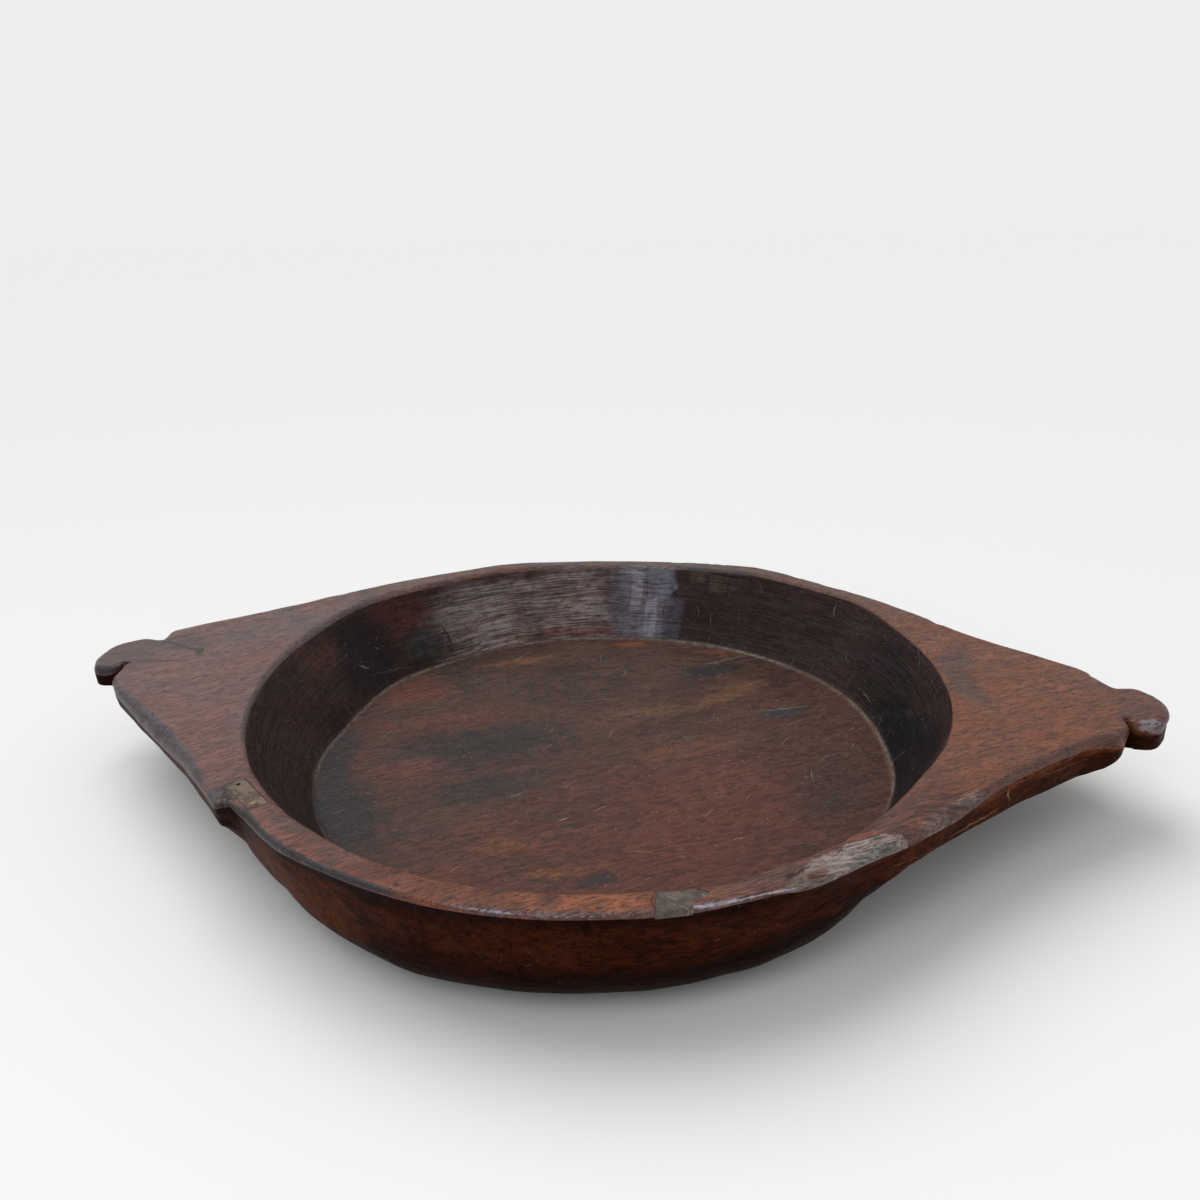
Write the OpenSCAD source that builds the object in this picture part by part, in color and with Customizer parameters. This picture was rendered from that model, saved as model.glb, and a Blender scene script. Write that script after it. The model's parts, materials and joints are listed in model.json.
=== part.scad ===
// Hand-carved dough bowl with two pointed handles, and the old repairs on its rim.
// +X runs along the handles, +Y towards the back, +Z up. The origin is on the bowl's own
// axis, on the surface that it stands on.

/* [Bowl] */
// Height from the standing face to the top of the rim
bowl_h = 73; // [66:1:84]
// Radius of the rim's outer edge
rim_r = 236.5; // [232:0.5:244]
// Distance that the outer wall leans in from the rim to the standing face
wall_lean = 13.5; // [6:0.5:24]
// Rounding between the outer wall and the standing face
foot_round = 32; // [12:1:40]
// Rounding of the rim's outer arris
rim_round = 4; // [2:0.5:6]
// Distance that the wall slopes in below the right handle, down to the standing face
taper_in = 46; // [30:1:60]
// Bearing at which that slope is steepest, from +X
taper_angle = -15; // [-30:1:0]
// Distance from the bowl's axis to the axis of the slope
taper_shift = 80; // [50:5:120]

/* [Hollow] */
// Width of the rim's flat top, arrises included
rim_w = 16.5; // [14:0.5:22]
// Distance that the hollow's wall leans in from the rim to the floor
hollow_lean = 34.5; // [24:0.5:50]
// Depth of the hollow
hollow_depth = 55; // [42:0.5:60]
// Rounding where the floor meets the wall
floor_round = 3; // [1:0.5:8]
// Rounding of the rim's inner arris
mouth_round = 2; // [1:0.5:3]

/* [Worn rim] */
// Depth of the dip that is worn into the middle of the back rim
dip_depth = 4.5; // [2:0.5:7]
// Width of the dip along the rim
dip_w = 210; // [140:5:240]
// Place of the dip's middle, measured sideways from the bowl's axis
dip_x = -10; // [-30:1:30]
// Bearing of the worn bevel on the front rim, from +X
bevel_angle = -47; // [-56:1:-42]
// Length of the worn bevel along the rim
bevel_len = 84; // [50:1:100]
// Width of the worn bevel on top of the rim
bevel_w = 9; // [5:0.5:11]
// Height of the worn bevel on the side of the rim
bevel_h = 7; // [3:0.5:10]

/* [Handles] */
// Thickness of the left handle
left_t = 15; // [13:0.5:20]
// Thickness of the right handle
right_t = 21; // [16:0.5:26]
// Rounding of the handles' edges
handle_round = 5; // [2:0.5:7]
// Radius of the notches beside the lobes
notch_r = 3; // [2:0.5:5]
// Depth to which a notch goes in behind the shoulder's face
notch_depth = 3; // [2:0.5:5]

/* [Left handle] */
// Length of the handle from the rim's outer edge to the lobe's tip
left_len = 115.5; // [104:0.5:126]
// Radius of the lobe
left_lobe_r = 25.5; // [20:0.5:28]
// Distance that the lobe stands out past the shoulder
left_lobe_out = 27; // [20:0.5:32]
// Sideways place of the lobe's middle
left_lobe_y = 10; // [4:0.5:16]
// Radius of the shoulder's back corner
left_back_r = 20; // [14:0.5:26]
// Sideways place of the back corner's middle
left_back_y = 41; // [34:0.5:48]
// Radius of the shoulder's front corner
left_front_r = 26; // [18:0.5:30]
// Sideways place of the front corner's middle
left_front_y = -22; // [-30:0.5:-14]
// Bearing of the step where the front flank ends on the rim, from +X
left_root_angle = -138; // [-142:0.5:-136]
// Distance that the flank stands out past the rim at the step
left_root_out = 7; // [3:0.5:9]
// Length of the stretch that stands out
left_root_len = 60; // [40:1:90]
// Radius of the corner at the step
left_root_r = 8; // [7:0.5:12]

/* [Right handle] */
// Length of the handle from the rim's outer edge to the lobe's tip
right_len = 107.5; // [96:0.5:118]
// Radius of the lobe
right_lobe_r = 23; // [18:0.5:26]
// Distance that the lobe stands out past the shoulder
right_lobe_out = 25; // [18:0.5:30]
// Sideways place of the lobe's middle
right_lobe_y = -3; // [-9:0.5:3]
// Radius of the shoulder's back corner
right_back_r = 19; // [14:0.5:24]
// Sideways place of the back corner's middle
right_back_y = 24; // [18:0.5:30]
// Radius of the shoulder's front corner
right_front_r = 16; // [12:0.5:22]
// Sideways place of the front corner's middle
right_front_y = -30; // [-36:0.5:-24]
// Length of the flat hollow hewn in the front flank
hewn_len = 160; // [120:5:180]
// Depth of that hollow
hewn_depth = 8; // [3:0.5:10]

/* [Brass plate] */
// Length of the plate
plate_len = 32; // [26:0.5:38]
// Width of the plate
plate_w = 11; // [9:0.5:12.5]
// Thickness of the plate
plate_t = 1.2; // [0.8:0.1:2]
// Distance from the hollow's edge to the middle of the plate
plate_inset = 8; // [7.5:0.5:11]
// Bearing of the plate's middle, from +X
plate_angle = -136.8; // [-142:0.2:-134]
// Turn of the plate's length from a square to its bearing
plate_turn = 5; // [-10:1:10]
// Gap between the plate and the edges of its seat
plate_gap = 0.2; // [0.1:0.05:0.5]
// Distance of each nail hole's middle from the end of the plate
hole_inset = 4; // [3:0.5:7]
// Distance of each nail hole's middle from the plate's middle line
hole_offset = 0.5; // [0:0.5:2]

/* [Nail] */
// Radius of the nail's shank
nail_r = 1.1; // [0.8:0.1:1.4]
// Length of the shank below the plate's top
nail_len = 14; // [8:1:15]
// Length of the point
nail_point = 3; // [2:0.5:4]
// Radius of the nail's head
head_r = 2.2; // [1.8:0.1:2.6]
// Height of the nail's domed head
head_h = 0.8; // [0.4:0.1:1.2]
// Clearance round the shank, in the plate and in the wood
nail_gap = 0.05; // [0.02:0.01:0.1]

/* [Filler] */
// Depth of the filler below the rim
fill_depth = 5; // [3:0.5:8]
// Bearing of the straight left edge, from +X
fill_angle = -74.4; // [-78:0.2:-72]
// Length of the patch along the rim's outer edge
fill_outer_len = 13; // [9:0.5:18]
// Length of the patch along the rim's inner edge
fill_inner_len = 25; // [18:0.5:32]

/* [Hidden] */
$fn = 96;
// Steps in each rounded corner of an outline
arc_steps = 6;
// Steps in the rounding of a handle's edge, and sides of the round pieces that it is drawn over
edge_steps = 3;
corner_sides = 32;
// Distance that cuts run past the surface they open through
overrun = 10;
// Distance that the handles' band lies inside the outer wall, so that their faces never coincide
band_inset = 0.5;
wood = [0.27, 0.13, 0.08];
foot_r = rim_r - wall_lean;
mouth_r = rim_r - rim_w;
floor_r = mouth_r - hollow_lean;
left_reach = rim_r + left_len;
right_reach = rim_r + right_len;
plate_r = mouth_r + plate_inset;
floor_z = bowl_h - hollow_depth;
taper_top = bowl_h - right_t;
rim_mid_r = (rim_r + mouth_r) / 2;
shank_hole_r = nail_r + nail_gap;
plate_floor = bowl_h - plate_t;

// Geometry of outlines

function unit(v) = v / norm(v);

function bearing(angle) = [cos(angle), sin(angle)];

// Radius of the outer wall at a height
function wall_r(z) = foot_r + (rim_r - foot_r) * z / bowl_h;

// Arc of radius r in the corner at c, between the sides that run to a and to b
function corner_arc(a, c, b, r, steps) =
    let (
        u = unit(a - c),
        v = unit(b - c),
        half = acos(u * v) / 2,
        centre = c + unit(u + v) * r / sin(half),
        first = c + u * r / tan(half) - centre,
        last = c + v * r / tan(half) - centre,
        sweep = sign(cross(first, last)) * (180 - 2 * half),
        start = atan2(first.y, first.x)
    )
    [for (i = [0 : steps]) centre + r * bearing(start + sweep * i / steps)];

// Bowl

module outer_blank() {
    foot = corner_arc([0, 0], [foot_r, 0], [rim_r, bowl_h], foot_round, arc_steps);
    arris = corner_arc([foot_r, 0], [rim_r, bowl_h], [0, bowl_h], rim_round, arc_steps);
    rotate_extrude()
        polygon(concat([[0, 0]], foot, arris, [[0, bowl_h]]));
}

// Space that the blank may fill: below the handles it is a cone set off the bowl's axis, so
// that the wall slopes in more under the right handle than anywhere else
module taper_space() {
    high_r = rim_r + taper_shift;
    low_r = high_r - taper_in * (taper_top + overrun) / taper_top;
    translate(-taper_shift * bearing(taper_angle))
        rotate_extrude()
            polygon([
                [0, -overrun],
                [low_r, -overrun],
                [high_r, taper_top],
                [high_r + overrun, taper_top],
                [high_r + overrun, bowl_h + overrun],
                [0, bowl_h + overrun]
            ]);
}

module hewn_blank() {
    intersection() {
        outer_blank();
        taper_space();
    }
}

module hollow() {
    corner = corner_arc([0, floor_z], [floor_r, floor_z], [mouth_r, bowl_h], floor_round, arc_steps);
    arris = corner_arc([floor_r, floor_z], [mouth_r, bowl_h], [rim_r, bowl_h], mouth_round, arc_steps);
    open_r = arris[arc_steps].x;
    rotate_extrude()
        polygon(concat([[0, floor_z]], corner, arris,
            [[open_r, bowl_h + overrun], [0, bowl_h + overrun]]));
}

// Upper band of the outer wall, t thick and just inside the wall's own face
module wall_band(t) {
    band_floor = bowl_h - t;
    low = [wall_r(band_floor) - band_inset, band_floor];
    high = [rim_r - band_inset, bowl_h];
    arris = corner_arc(low, high, [0, bowl_h], rim_round, edge_steps);
    rotate_extrude()
        polygon(concat([[0, band_floor], low], arris, [[0, bowl_h]]));
}

// Handles

// Round piece of the handle's thickness t with rounded edges
module round_slab(r, t) {
    band_floor = bowl_h - t;
    low = corner_arc([0, band_floor], [r, band_floor], [r, bowl_h], handle_round, edge_steps);
    high = corner_arc([r, band_floor], [r, bowl_h], [0, bowl_h], handle_round, edge_steps);
    rotate_extrude()
        polygon(concat([[0, band_floor]], low, high, [[0, bowl_h]]));
}

// One handle: two straight flanks from the rim to the shoulder's corners, and the lobe.
// side is 1 for the right handle and -1 for the left one.
module handle(side, t, reach, lobe_r, lobe_out, lobe_y, back_r, back_y, front_r, front_y) {
    shoulder_x = reach - lobe_out;
    difference() {
        hull() {
            wall_band(t);
            translate([side * (shoulder_x - back_r), back_y, 0])
                round_slab(back_r, t, $fn = corner_sides);
            translate([side * (shoulder_x - front_r), front_y, 0])
                round_slab(front_r, t, $fn = corner_sides);
        }
        for (edge = [-1, 1])
            translate([side * (shoulder_x - notch_depth + notch_r), lobe_y + edge * lobe_r, 0])
                cylinder(h = bowl_h + overrun, r = notch_r);
    }
    translate([side * (reach - lobe_r), lobe_y, 0])
        round_slab(lobe_r, t);
}

// Thicker root of the left handle's front flank, which stands out past the rim and ends in a step
module left_root() {
    corner = [left_lobe_out + left_front_r - left_reach, left_front_y];
    step = (rim_r + left_root_out - left_root_r) * bearing(left_root_angle);
    far = step + left_root_len * unit(corner - step);
    inside = rim_mid_r * bearing(left_root_angle);
    hull() {
        for (place = [step, far, inside])
            translate(place)
                round_slab(left_root_r, left_t, $fn = corner_sides);
    }
}

module left_handle() {
    handle(-1, left_t, left_reach, left_lobe_r, left_lobe_out, left_lobe_y,
        left_back_r, left_back_y, left_front_r, left_front_y);
    left_root();
}

module right_handle() {
    corner = [right_reach - right_lobe_out - right_front_r, right_front_y];
    tangent_angle = atan2(corner.y, corner.x) - acos((rim_r - right_front_r) / norm(corner));
    flank_normal = bearing(tangent_angle);
    along = bearing(tangent_angle - 90);
    hewn_r = (hewn_len * hewn_len / 4 + hewn_depth * hewn_depth) / (2 * hewn_depth);
    hewn_middle = corner + along * hewn_len / 2
        + flank_normal * (right_front_r + hewn_r - hewn_depth);
    difference() {
        handle(1, right_t, right_reach, right_lobe_r, right_lobe_out, right_lobe_y,
            right_back_r, right_back_y, right_front_r, right_front_y);
        translate(hewn_middle)
            cylinder(h = bowl_h + overrun, r = hewn_r);
    }
}

// Wear on the rim

module back_dip() {
    dip_r = (dip_w * dip_w / 4 + dip_depth * dip_depth) / (2 * dip_depth);
    translate([dip_x, 0, bowl_h - dip_depth + dip_r])
        rotate([-90, 0, 0])
            cylinder(h = rim_r + overrun, r = dip_r);
}

module front_bevel() {
    slope = atan2(bevel_h, bevel_w);
    rotate([0, 0, bevel_angle])
        translate([rim_r - bevel_w, -bevel_len / 2, bowl_h])
            rotate([0, slope, 0])
                cube([norm([bevel_w, bevel_h]) + overrun, bevel_len, overrun]);
}

// Seats for the repairs

module at_plate() {
    translate(plate_r * bearing(plate_angle))
        rotate([0, 0, plate_angle + 90 + plate_turn])
            children();
}

// Places of the nail holes from the middle of the plate: the open hole, then the nailed one
function hole_places() =
    let (along = plate_len / 2 - hole_inset)
    [[-along, hole_offset, 0], [along, -hole_offset, 0]];

module plate_seat() {
    at_plate() {
        translate([-plate_len / 2 - plate_gap, -plate_w / 2 - plate_gap, plate_floor])
            cube([plate_len + 2 * plate_gap, plate_w + 2 * plate_gap, plate_t + overrun]);
        for (place = hole_places())
            translate(place + [0, 0, bowl_h - nail_len - nail_gap])
                cylinder(h = nail_len + overrun, r = shank_hole_r);
    }
}

// Upright prism of the filler's outline: a straight left edge, and a right edge that slants
// because the patch is longer along the hollow than along the outside
module fill_prism() {
    inner_r = mouth_r - overrun;
    outer_r = rim_r + overrun;
    inner_angle = fill_angle + fill_inner_len / mouth_r * 180 / PI;
    outer_angle = fill_angle + fill_outer_len / rim_r * 180 / PI;
    translate([0, 0, bowl_h - fill_depth])
        linear_extrude(fill_depth + overrun)
            polygon([
                inner_r * bearing(fill_angle),
                outer_r * bearing(fill_angle),
                outer_r * bearing(outer_angle),
                inner_r * bearing(inner_angle)
            ]);
}

module round_bowl() {
    difference() {
        hewn_blank();
        hollow();
    }
}

module bowl_with_handles() {
    difference() {
        union() {
            hewn_blank();
            left_handle();
            right_handle();
        }
        hollow();
        back_dip();
        front_bevel();
    }
}

// Pieces

module bowl_body() {
    color(wood)
        difference() {
            bowl_with_handles();
            plate_seat();
            fill_prism();
        }
}

module repair_plate() {
    color([0.48, 0.40, 0.24])
        at_plate()
            difference() {
                translate([-plate_len / 2, -plate_w / 2, plate_floor])
                    cube([plate_len, plate_w, plate_t]);
                for (place = hole_places())
                    translate(place + [0, 0, plate_floor - overrun])
                        cylinder(h = plate_t + 2 * overrun, r = shank_hole_r);
            }
}

module plate_nail() {
    dome_r = (head_r * head_r + head_h * head_h) / (2 * head_h);
    dome_angle = asin(head_r / dome_r);
    dome = [for (i = [0 : arc_steps])
        let (angle = dome_angle * i / arc_steps)
        [dome_r * sin(angle), bowl_h + head_h - dome_r + dome_r * cos(angle)]];
    tip_z = bowl_h - nail_len;
    color([0.42, 0.36, 0.24])
        at_plate()
            translate(hole_places()[1])
                rotate_extrude()
                    polygon(concat(dome, [
                        [nail_r, bowl_h],
                        [nail_r, tip_z + nail_point],
                        [0, tip_z]
                    ]));
}

module rim_fill() {
    color([0.36, 0.35, 0.32])
        intersection() {
            round_bowl();
            fill_prism();
        }
}

bowl_body();
repair_plate();
plate_nail();
rim_fill();
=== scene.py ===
"""A hand-carved dough bowl with two pointed handles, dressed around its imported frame.

Every length is in metres, in the frame's own axes: +X along the handles, +Y towards
the back, +Z up, with the origin on the bowl's axis on the surface it stands on. Tables
that follow an outline are in millimetres and say so.
"""

import json
import logging
import math
from collections.abc import Callable
from dataclasses import dataclass, field
from enum import Enum

import bpy
import numpy as np
from mathutils import Matrix, Vector, noise

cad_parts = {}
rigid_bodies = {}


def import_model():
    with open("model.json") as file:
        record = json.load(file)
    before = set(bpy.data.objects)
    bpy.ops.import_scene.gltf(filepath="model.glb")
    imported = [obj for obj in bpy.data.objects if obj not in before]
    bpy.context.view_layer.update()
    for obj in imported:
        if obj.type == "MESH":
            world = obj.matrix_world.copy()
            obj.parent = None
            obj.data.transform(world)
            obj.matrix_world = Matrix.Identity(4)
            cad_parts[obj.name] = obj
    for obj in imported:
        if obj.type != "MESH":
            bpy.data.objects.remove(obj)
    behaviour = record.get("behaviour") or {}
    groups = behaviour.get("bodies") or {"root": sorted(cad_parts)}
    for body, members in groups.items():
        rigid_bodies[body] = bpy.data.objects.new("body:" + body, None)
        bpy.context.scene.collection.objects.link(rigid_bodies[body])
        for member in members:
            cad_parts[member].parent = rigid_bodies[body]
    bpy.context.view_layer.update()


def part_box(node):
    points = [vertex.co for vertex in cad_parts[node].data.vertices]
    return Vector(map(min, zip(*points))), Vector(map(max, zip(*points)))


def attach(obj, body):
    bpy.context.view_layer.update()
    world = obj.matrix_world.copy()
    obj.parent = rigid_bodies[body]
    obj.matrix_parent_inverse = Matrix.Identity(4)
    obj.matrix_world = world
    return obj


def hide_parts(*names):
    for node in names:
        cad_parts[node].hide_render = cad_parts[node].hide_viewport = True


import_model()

LOG = logging.getLogger("dough_bowl")
MM = 0.001
Pair = tuple[float, float]
Triple = tuple[float, float, float]


# Small helpers for curves and numbers


def smooth(low: float, high: float, value: np.ndarray) -> np.ndarray:
    """Eases from 0 at low to 1 at high.

    Args:
        low: Value at which the result leaves 0.
        high: Value at which the result reaches 1.
        value: Values to ease.

    Returns:
        The eased values, between 0 and 1.
    """
    t = np.clip((value - low) / (high - low), 0.0, 1.0)
    return t * t * (3.0 - 2.0 * t)


def angle_gap(a: np.ndarray, b: float) -> np.ndarray:
    """Shortest way from bearing b to bearings a, in degrees from -180 to 180."""
    return (a - b + 180.0) % 360.0 - 180.0


def round_table(bearings: np.ndarray, table: tuple[Pair, ...]) -> np.ndarray:
    """Reads values between the rows of a table that runs once round the bowl.

    Args:
        bearings: Bearings in degrees.
        table: Rows of a bearing in degrees and its value, in rising order.

    Returns:
        One value for each bearing.
    """
    places, values = zip(*table)
    return np.interp(angle_gap(bearings, 0.0), places, values, period=360.0)


def blur_loop(values: np.ndarray, width: float) -> np.ndarray:
    """Smooths a closed run of values with a bell.

    Args:
        values: Rows in the loop's order.
        width: Width of the bell, in rows.

    Returns:
        The smoothed rows.
    """
    count = len(values)
    reach = np.arange(count)
    reach = np.minimum(reach, count - reach)
    bell = np.exp(-0.5 * (reach / width) ** 2)
    spectrum = np.fft.rfft(bell / bell.sum())
    return np.fft.irfft(np.fft.rfft(values, axis=0) * spectrum[:, None], n=count, axis=0)


def unit_rows(rows: np.ndarray) -> np.ndarray:
    """Scales every row to a length of 1."""
    return rows / np.linalg.norm(rows, axis=-1, keepdims=True)


def relax(rings: np.ndarray, rounds: int = 500) -> np.ndarray:
    """Spreads rings between the first and the last one so that no cell folds over.

    Args:
        rings: Plan of the rings, by ring, column, and x and y.
        rounds: Times that every inner point moves towards its neighbours.

    Returns:
        The spread rings. The first and the last one stay as they were.
    """
    grid = rings.copy()
    for _ in range(rounds):
        ahead = np.roll(grid, -1, 1)
        behind = np.roll(grid, 1, 1)
        along = (ahead - behind)[1:-1] / 2
        across = (grid[2:] - grid[:-2]) / 2
        a = (across**2).sum(-1, keepdims=True)
        b = (along * across).sum(-1, keepdims=True)
        c = (along**2).sum(-1, keepdims=True)
        twist = (ahead[2:] - ahead[:-2] - behind[2:] + behind[:-2]) / 4
        moved = a * (ahead + behind)[1:-1] + c * (grid[2:] + grid[:-2]) - 2 * b * twist
        grid[1:-1] = moved / (2 * (a + c))
    return grid


@dataclass(frozen=True)
class Swell:
    """A stretch of a round edge that stands out, or in, by hand work or wear.

    The bearing and the spread are in degrees and out is in millimetres.
    """

    bearing: float
    spread: float
    out: float

    def at(self, bearings: np.ndarray) -> np.ndarray:
        """Distance that the edge stands out at each bearing, in metres."""
        return self.out * MM * np.exp(-((angle_gap(bearings, self.bearing) / self.spread) ** 2))


@dataclass(frozen=True)
class RoundEdge:
    """A nearly round edge in plan: a radius, and the swells that set it off round."""

    radius: float
    swells: tuple[Swell, ...] = ()

    def radii(self, bearings: np.ndarray) -> np.ndarray:
        """Radius at each bearing in degrees, in metres."""
        return self.radius + sum((swell.at(bearings) for swell in self.swells), 0.0 * bearings)

    def points(self, bearings: np.ndarray) -> np.ndarray:
        """Points of the edge at bearings in degrees, as rows of x and y."""
        turn = np.radians(bearings)
        return self.radii(bearings)[:, None] * np.stack([np.cos(turn), np.sin(turn)], 1)


@dataclass(frozen=True)
class Corner:
    """A corner of an outline in plan, in millimetres, with the radius that rounds it."""

    x: float
    y: float
    r: float

    def point(self) -> np.ndarray:
        """The corner's place in metres."""
        return np.array([self.x, self.y]) * MM

    def rounded(self, before: np.ndarray, after: np.ndarray, steps: int = 8) -> np.ndarray:
        """Points of the curve that rounds the corner.

        Args:
            before: The outline's point before the corner.
            after: The outline's point after it.
            steps: Stretches that the curve is drawn with.

        Returns:
            The curve's points in the outline's order.
        """
        place = self.point()
        u = unit_rows(before - place)
        v = unit_rows(after - place)
        half = math.acos(float(np.clip(u @ v, -1.0, 1.0))) / 2.0
        room = 0.49 * min(np.linalg.norm(before - place), np.linalg.norm(after - place))
        reach = min(self.r * MM / max(math.tan(half), 0.01), room)
        t = np.linspace(0.0, 1.0, steps + 1)[:, None]
        start = place + u * reach
        end = place + v * reach
        return (1 - t) ** 2 * start + 2 * t * (1 - t) * place + t**2 * end


@dataclass(frozen=True)
class Spot:
    """A round spot in plan, in millimetres, at which a measure is larger or smaller."""

    x: float
    y: float
    reach: float
    extra: float

    def at(self, plan: np.ndarray) -> np.ndarray:
        """Extra measure at places in plan, in metres."""
        gap = np.linalg.norm(plan - np.array([self.x, self.y]) * MM, axis=1)
        return self.extra * MM * np.exp(-((gap / (self.reach * MM)) ** 2))


# Small helpers for modelling


def only(thing: bpy.types.Object) -> None:
    """Makes one object the selected and active one."""
    for other in bpy.context.scene.objects:
        other.select_set(False)
    thing.select_set(True)
    bpy.context.view_layer.objects.active = thing


def rename(thing: bpy.types.Object, name: str) -> bpy.types.Object:
    """Gives an object and its mesh a name and returns the object."""
    thing.name = name
    thing.data.name = name
    return thing


def settle(thing: bpy.types.Object) -> None:
    """Applies an object's place, turn and size to its mesh."""
    only(thing)
    bpy.ops.object.transform_apply(location=True, rotation=True, scale=True)


def coordinates(thing: bpy.types.Object) -> np.ndarray:
    """Vertex places of a mesh as rows."""
    flat = np.empty(len(thing.data.vertices) * 3)
    thing.data.vertices.foreach_get("co", flat)
    return flat.reshape(-1, 3)


def move_vertices(thing: bpy.types.Object, places: np.ndarray) -> None:
    """Moves every vertex of a mesh to a new place, given as one row each."""
    thing.data.vertices.foreach_set("co", places.ravel())
    thing.data.update()


def start_point(place: Triple) -> bpy.types.Object:
    """Adds a mesh of one point and leaves it in edit mode, with the point selected."""
    bpy.ops.mesh.primitive_plane_add(size=0.001, location=place)
    thing = bpy.context.object
    only(thing)
    bpy.ops.object.mode_set(mode="EDIT")
    bpy.ops.mesh.select_all(action="SELECT")
    bpy.ops.mesh.merge(type="CENTER")
    return thing


def extrude(x: float, y: float, z: float) -> None:
    """Extrudes what is selected in edit mode by a step."""
    bpy.ops.mesh.extrude_region_move(TRANSFORM_OT_translate={"value": (x, y, z)})


def spin_round(steps: int, weld: float) -> None:
    """Spins a profile in edit mode once round Z and closes it.

    Args:
        steps: Stretches of the round.
        weld: Distance within which points are merged.
    """
    bpy.ops.mesh.select_all(action="SELECT")
    bpy.ops.mesh.spin(steps=steps, angle=2 * math.pi, center=(0.0, 0.0, 0.0), axis=(0.0, 0.0, 1.0))
    bpy.ops.mesh.select_all(action="SELECT")
    bpy.ops.mesh.remove_doubles(threshold=weld)


def vertex_normals(thing: bpy.types.Object) -> np.ndarray:
    """Vertex normals of a mesh as rows."""
    flat = np.empty(len(thing.data.vertices) * 3)
    thing.data.vertex_normals.foreach_get("vector", flat)
    return flat.reshape(-1, 3)


def store(thing: bpy.types.Object, name: str, rows: np.ndarray) -> None:
    """Keeps three values for each vertex as an attribute that materials can read.

    Args:
        thing: The mesh object.
        name: Name of the attribute.
        rows: One row of three values for each vertex.
    """
    layer = thing.data.attributes.new(name, "FLOAT_VECTOR", "POINT")
    layer.data.foreach_set("vector", rows.astype(np.float32).ravel())


def shade(thing: bpy.types.Object, degrees: float) -> None:
    """Shades a mesh smooth, apart from edges sharper than an angle in degrees."""
    only(thing)
    bpy.ops.object.shade_smooth_by_angle(angle=math.radians(degrees))


def hill_noise(places: np.ndarray, size: Triple, seed: float) -> np.ndarray:
    """Smooth hills and hollows over places.

    Args:
        places: Rows of x, y and z in metres.
        size: Length of the hills along each axis, in metres.
        seed: Shift that makes one noise unlike another.

    Returns:
        One value for each place, about from -1 to 1.
    """
    scaled = places / np.array(size) + np.array([seed, 1.7 * seed, -seed])
    return np.array([noise.fractal(Vector(row), 0.9, 2.1, 3) for row in scaled])


def gouge_noise(places: np.ndarray, size: Triple, seed: float) -> np.ndarray:
    """Shallow scoops side by side, as a gouge leaves them.

    Args:
        places: Rows of x, y and z in metres.
        size: Length of a scoop along each axis, in metres.
        seed: Shift that makes one pattern unlike another.

    Returns:
        Depth of the scoops, from 0 at their edges to about 1 in the middle.
    """
    scaled = places / np.array(size) + np.array([seed, 1.7 * seed, -seed])
    return np.array([1.0 - min(noise.voronoi(Vector(row))[0][0], 1.0) ** 2 for row in scaled])


def cut_away(thing: bpy.types.Object, cutter: bpy.types.Object, keep: str = "DIFFERENCE") -> None:
    """Cuts a mesh with another one, which is deleted afterwards.

    Args:
        thing: The mesh to cut.
        cutter: The mesh that cuts it.
        keep: The boolean operation.
    """
    only(thing)
    modifier = thing.modifiers.new("cut", "BOOLEAN")
    modifier.operation = keep
    modifier.object = cutter
    modifier.solver = "EXACT"
    bpy.ops.object.modifier_apply(modifier=modifier.name)
    bpy.data.objects.remove(cutter)


# Node graphs and the effects that several materials share

Socket = bpy.types.NodeSocket
Sockets = dict[str, Socket]


def tone(red: float, green: float, blue: float) -> tuple[float, float, float, float]:
    """Turns a colour as a screen shows it, from 0 to 255, into the shader's own values."""
    shares = (red / 255.0, green / 255.0, blue / 255.0)
    linear = [share / 12.92 if share < 0.04 else ((share + 0.055) / 1.055) ** 2.4 for share in shares]
    return (*linear, 1.0)


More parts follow.
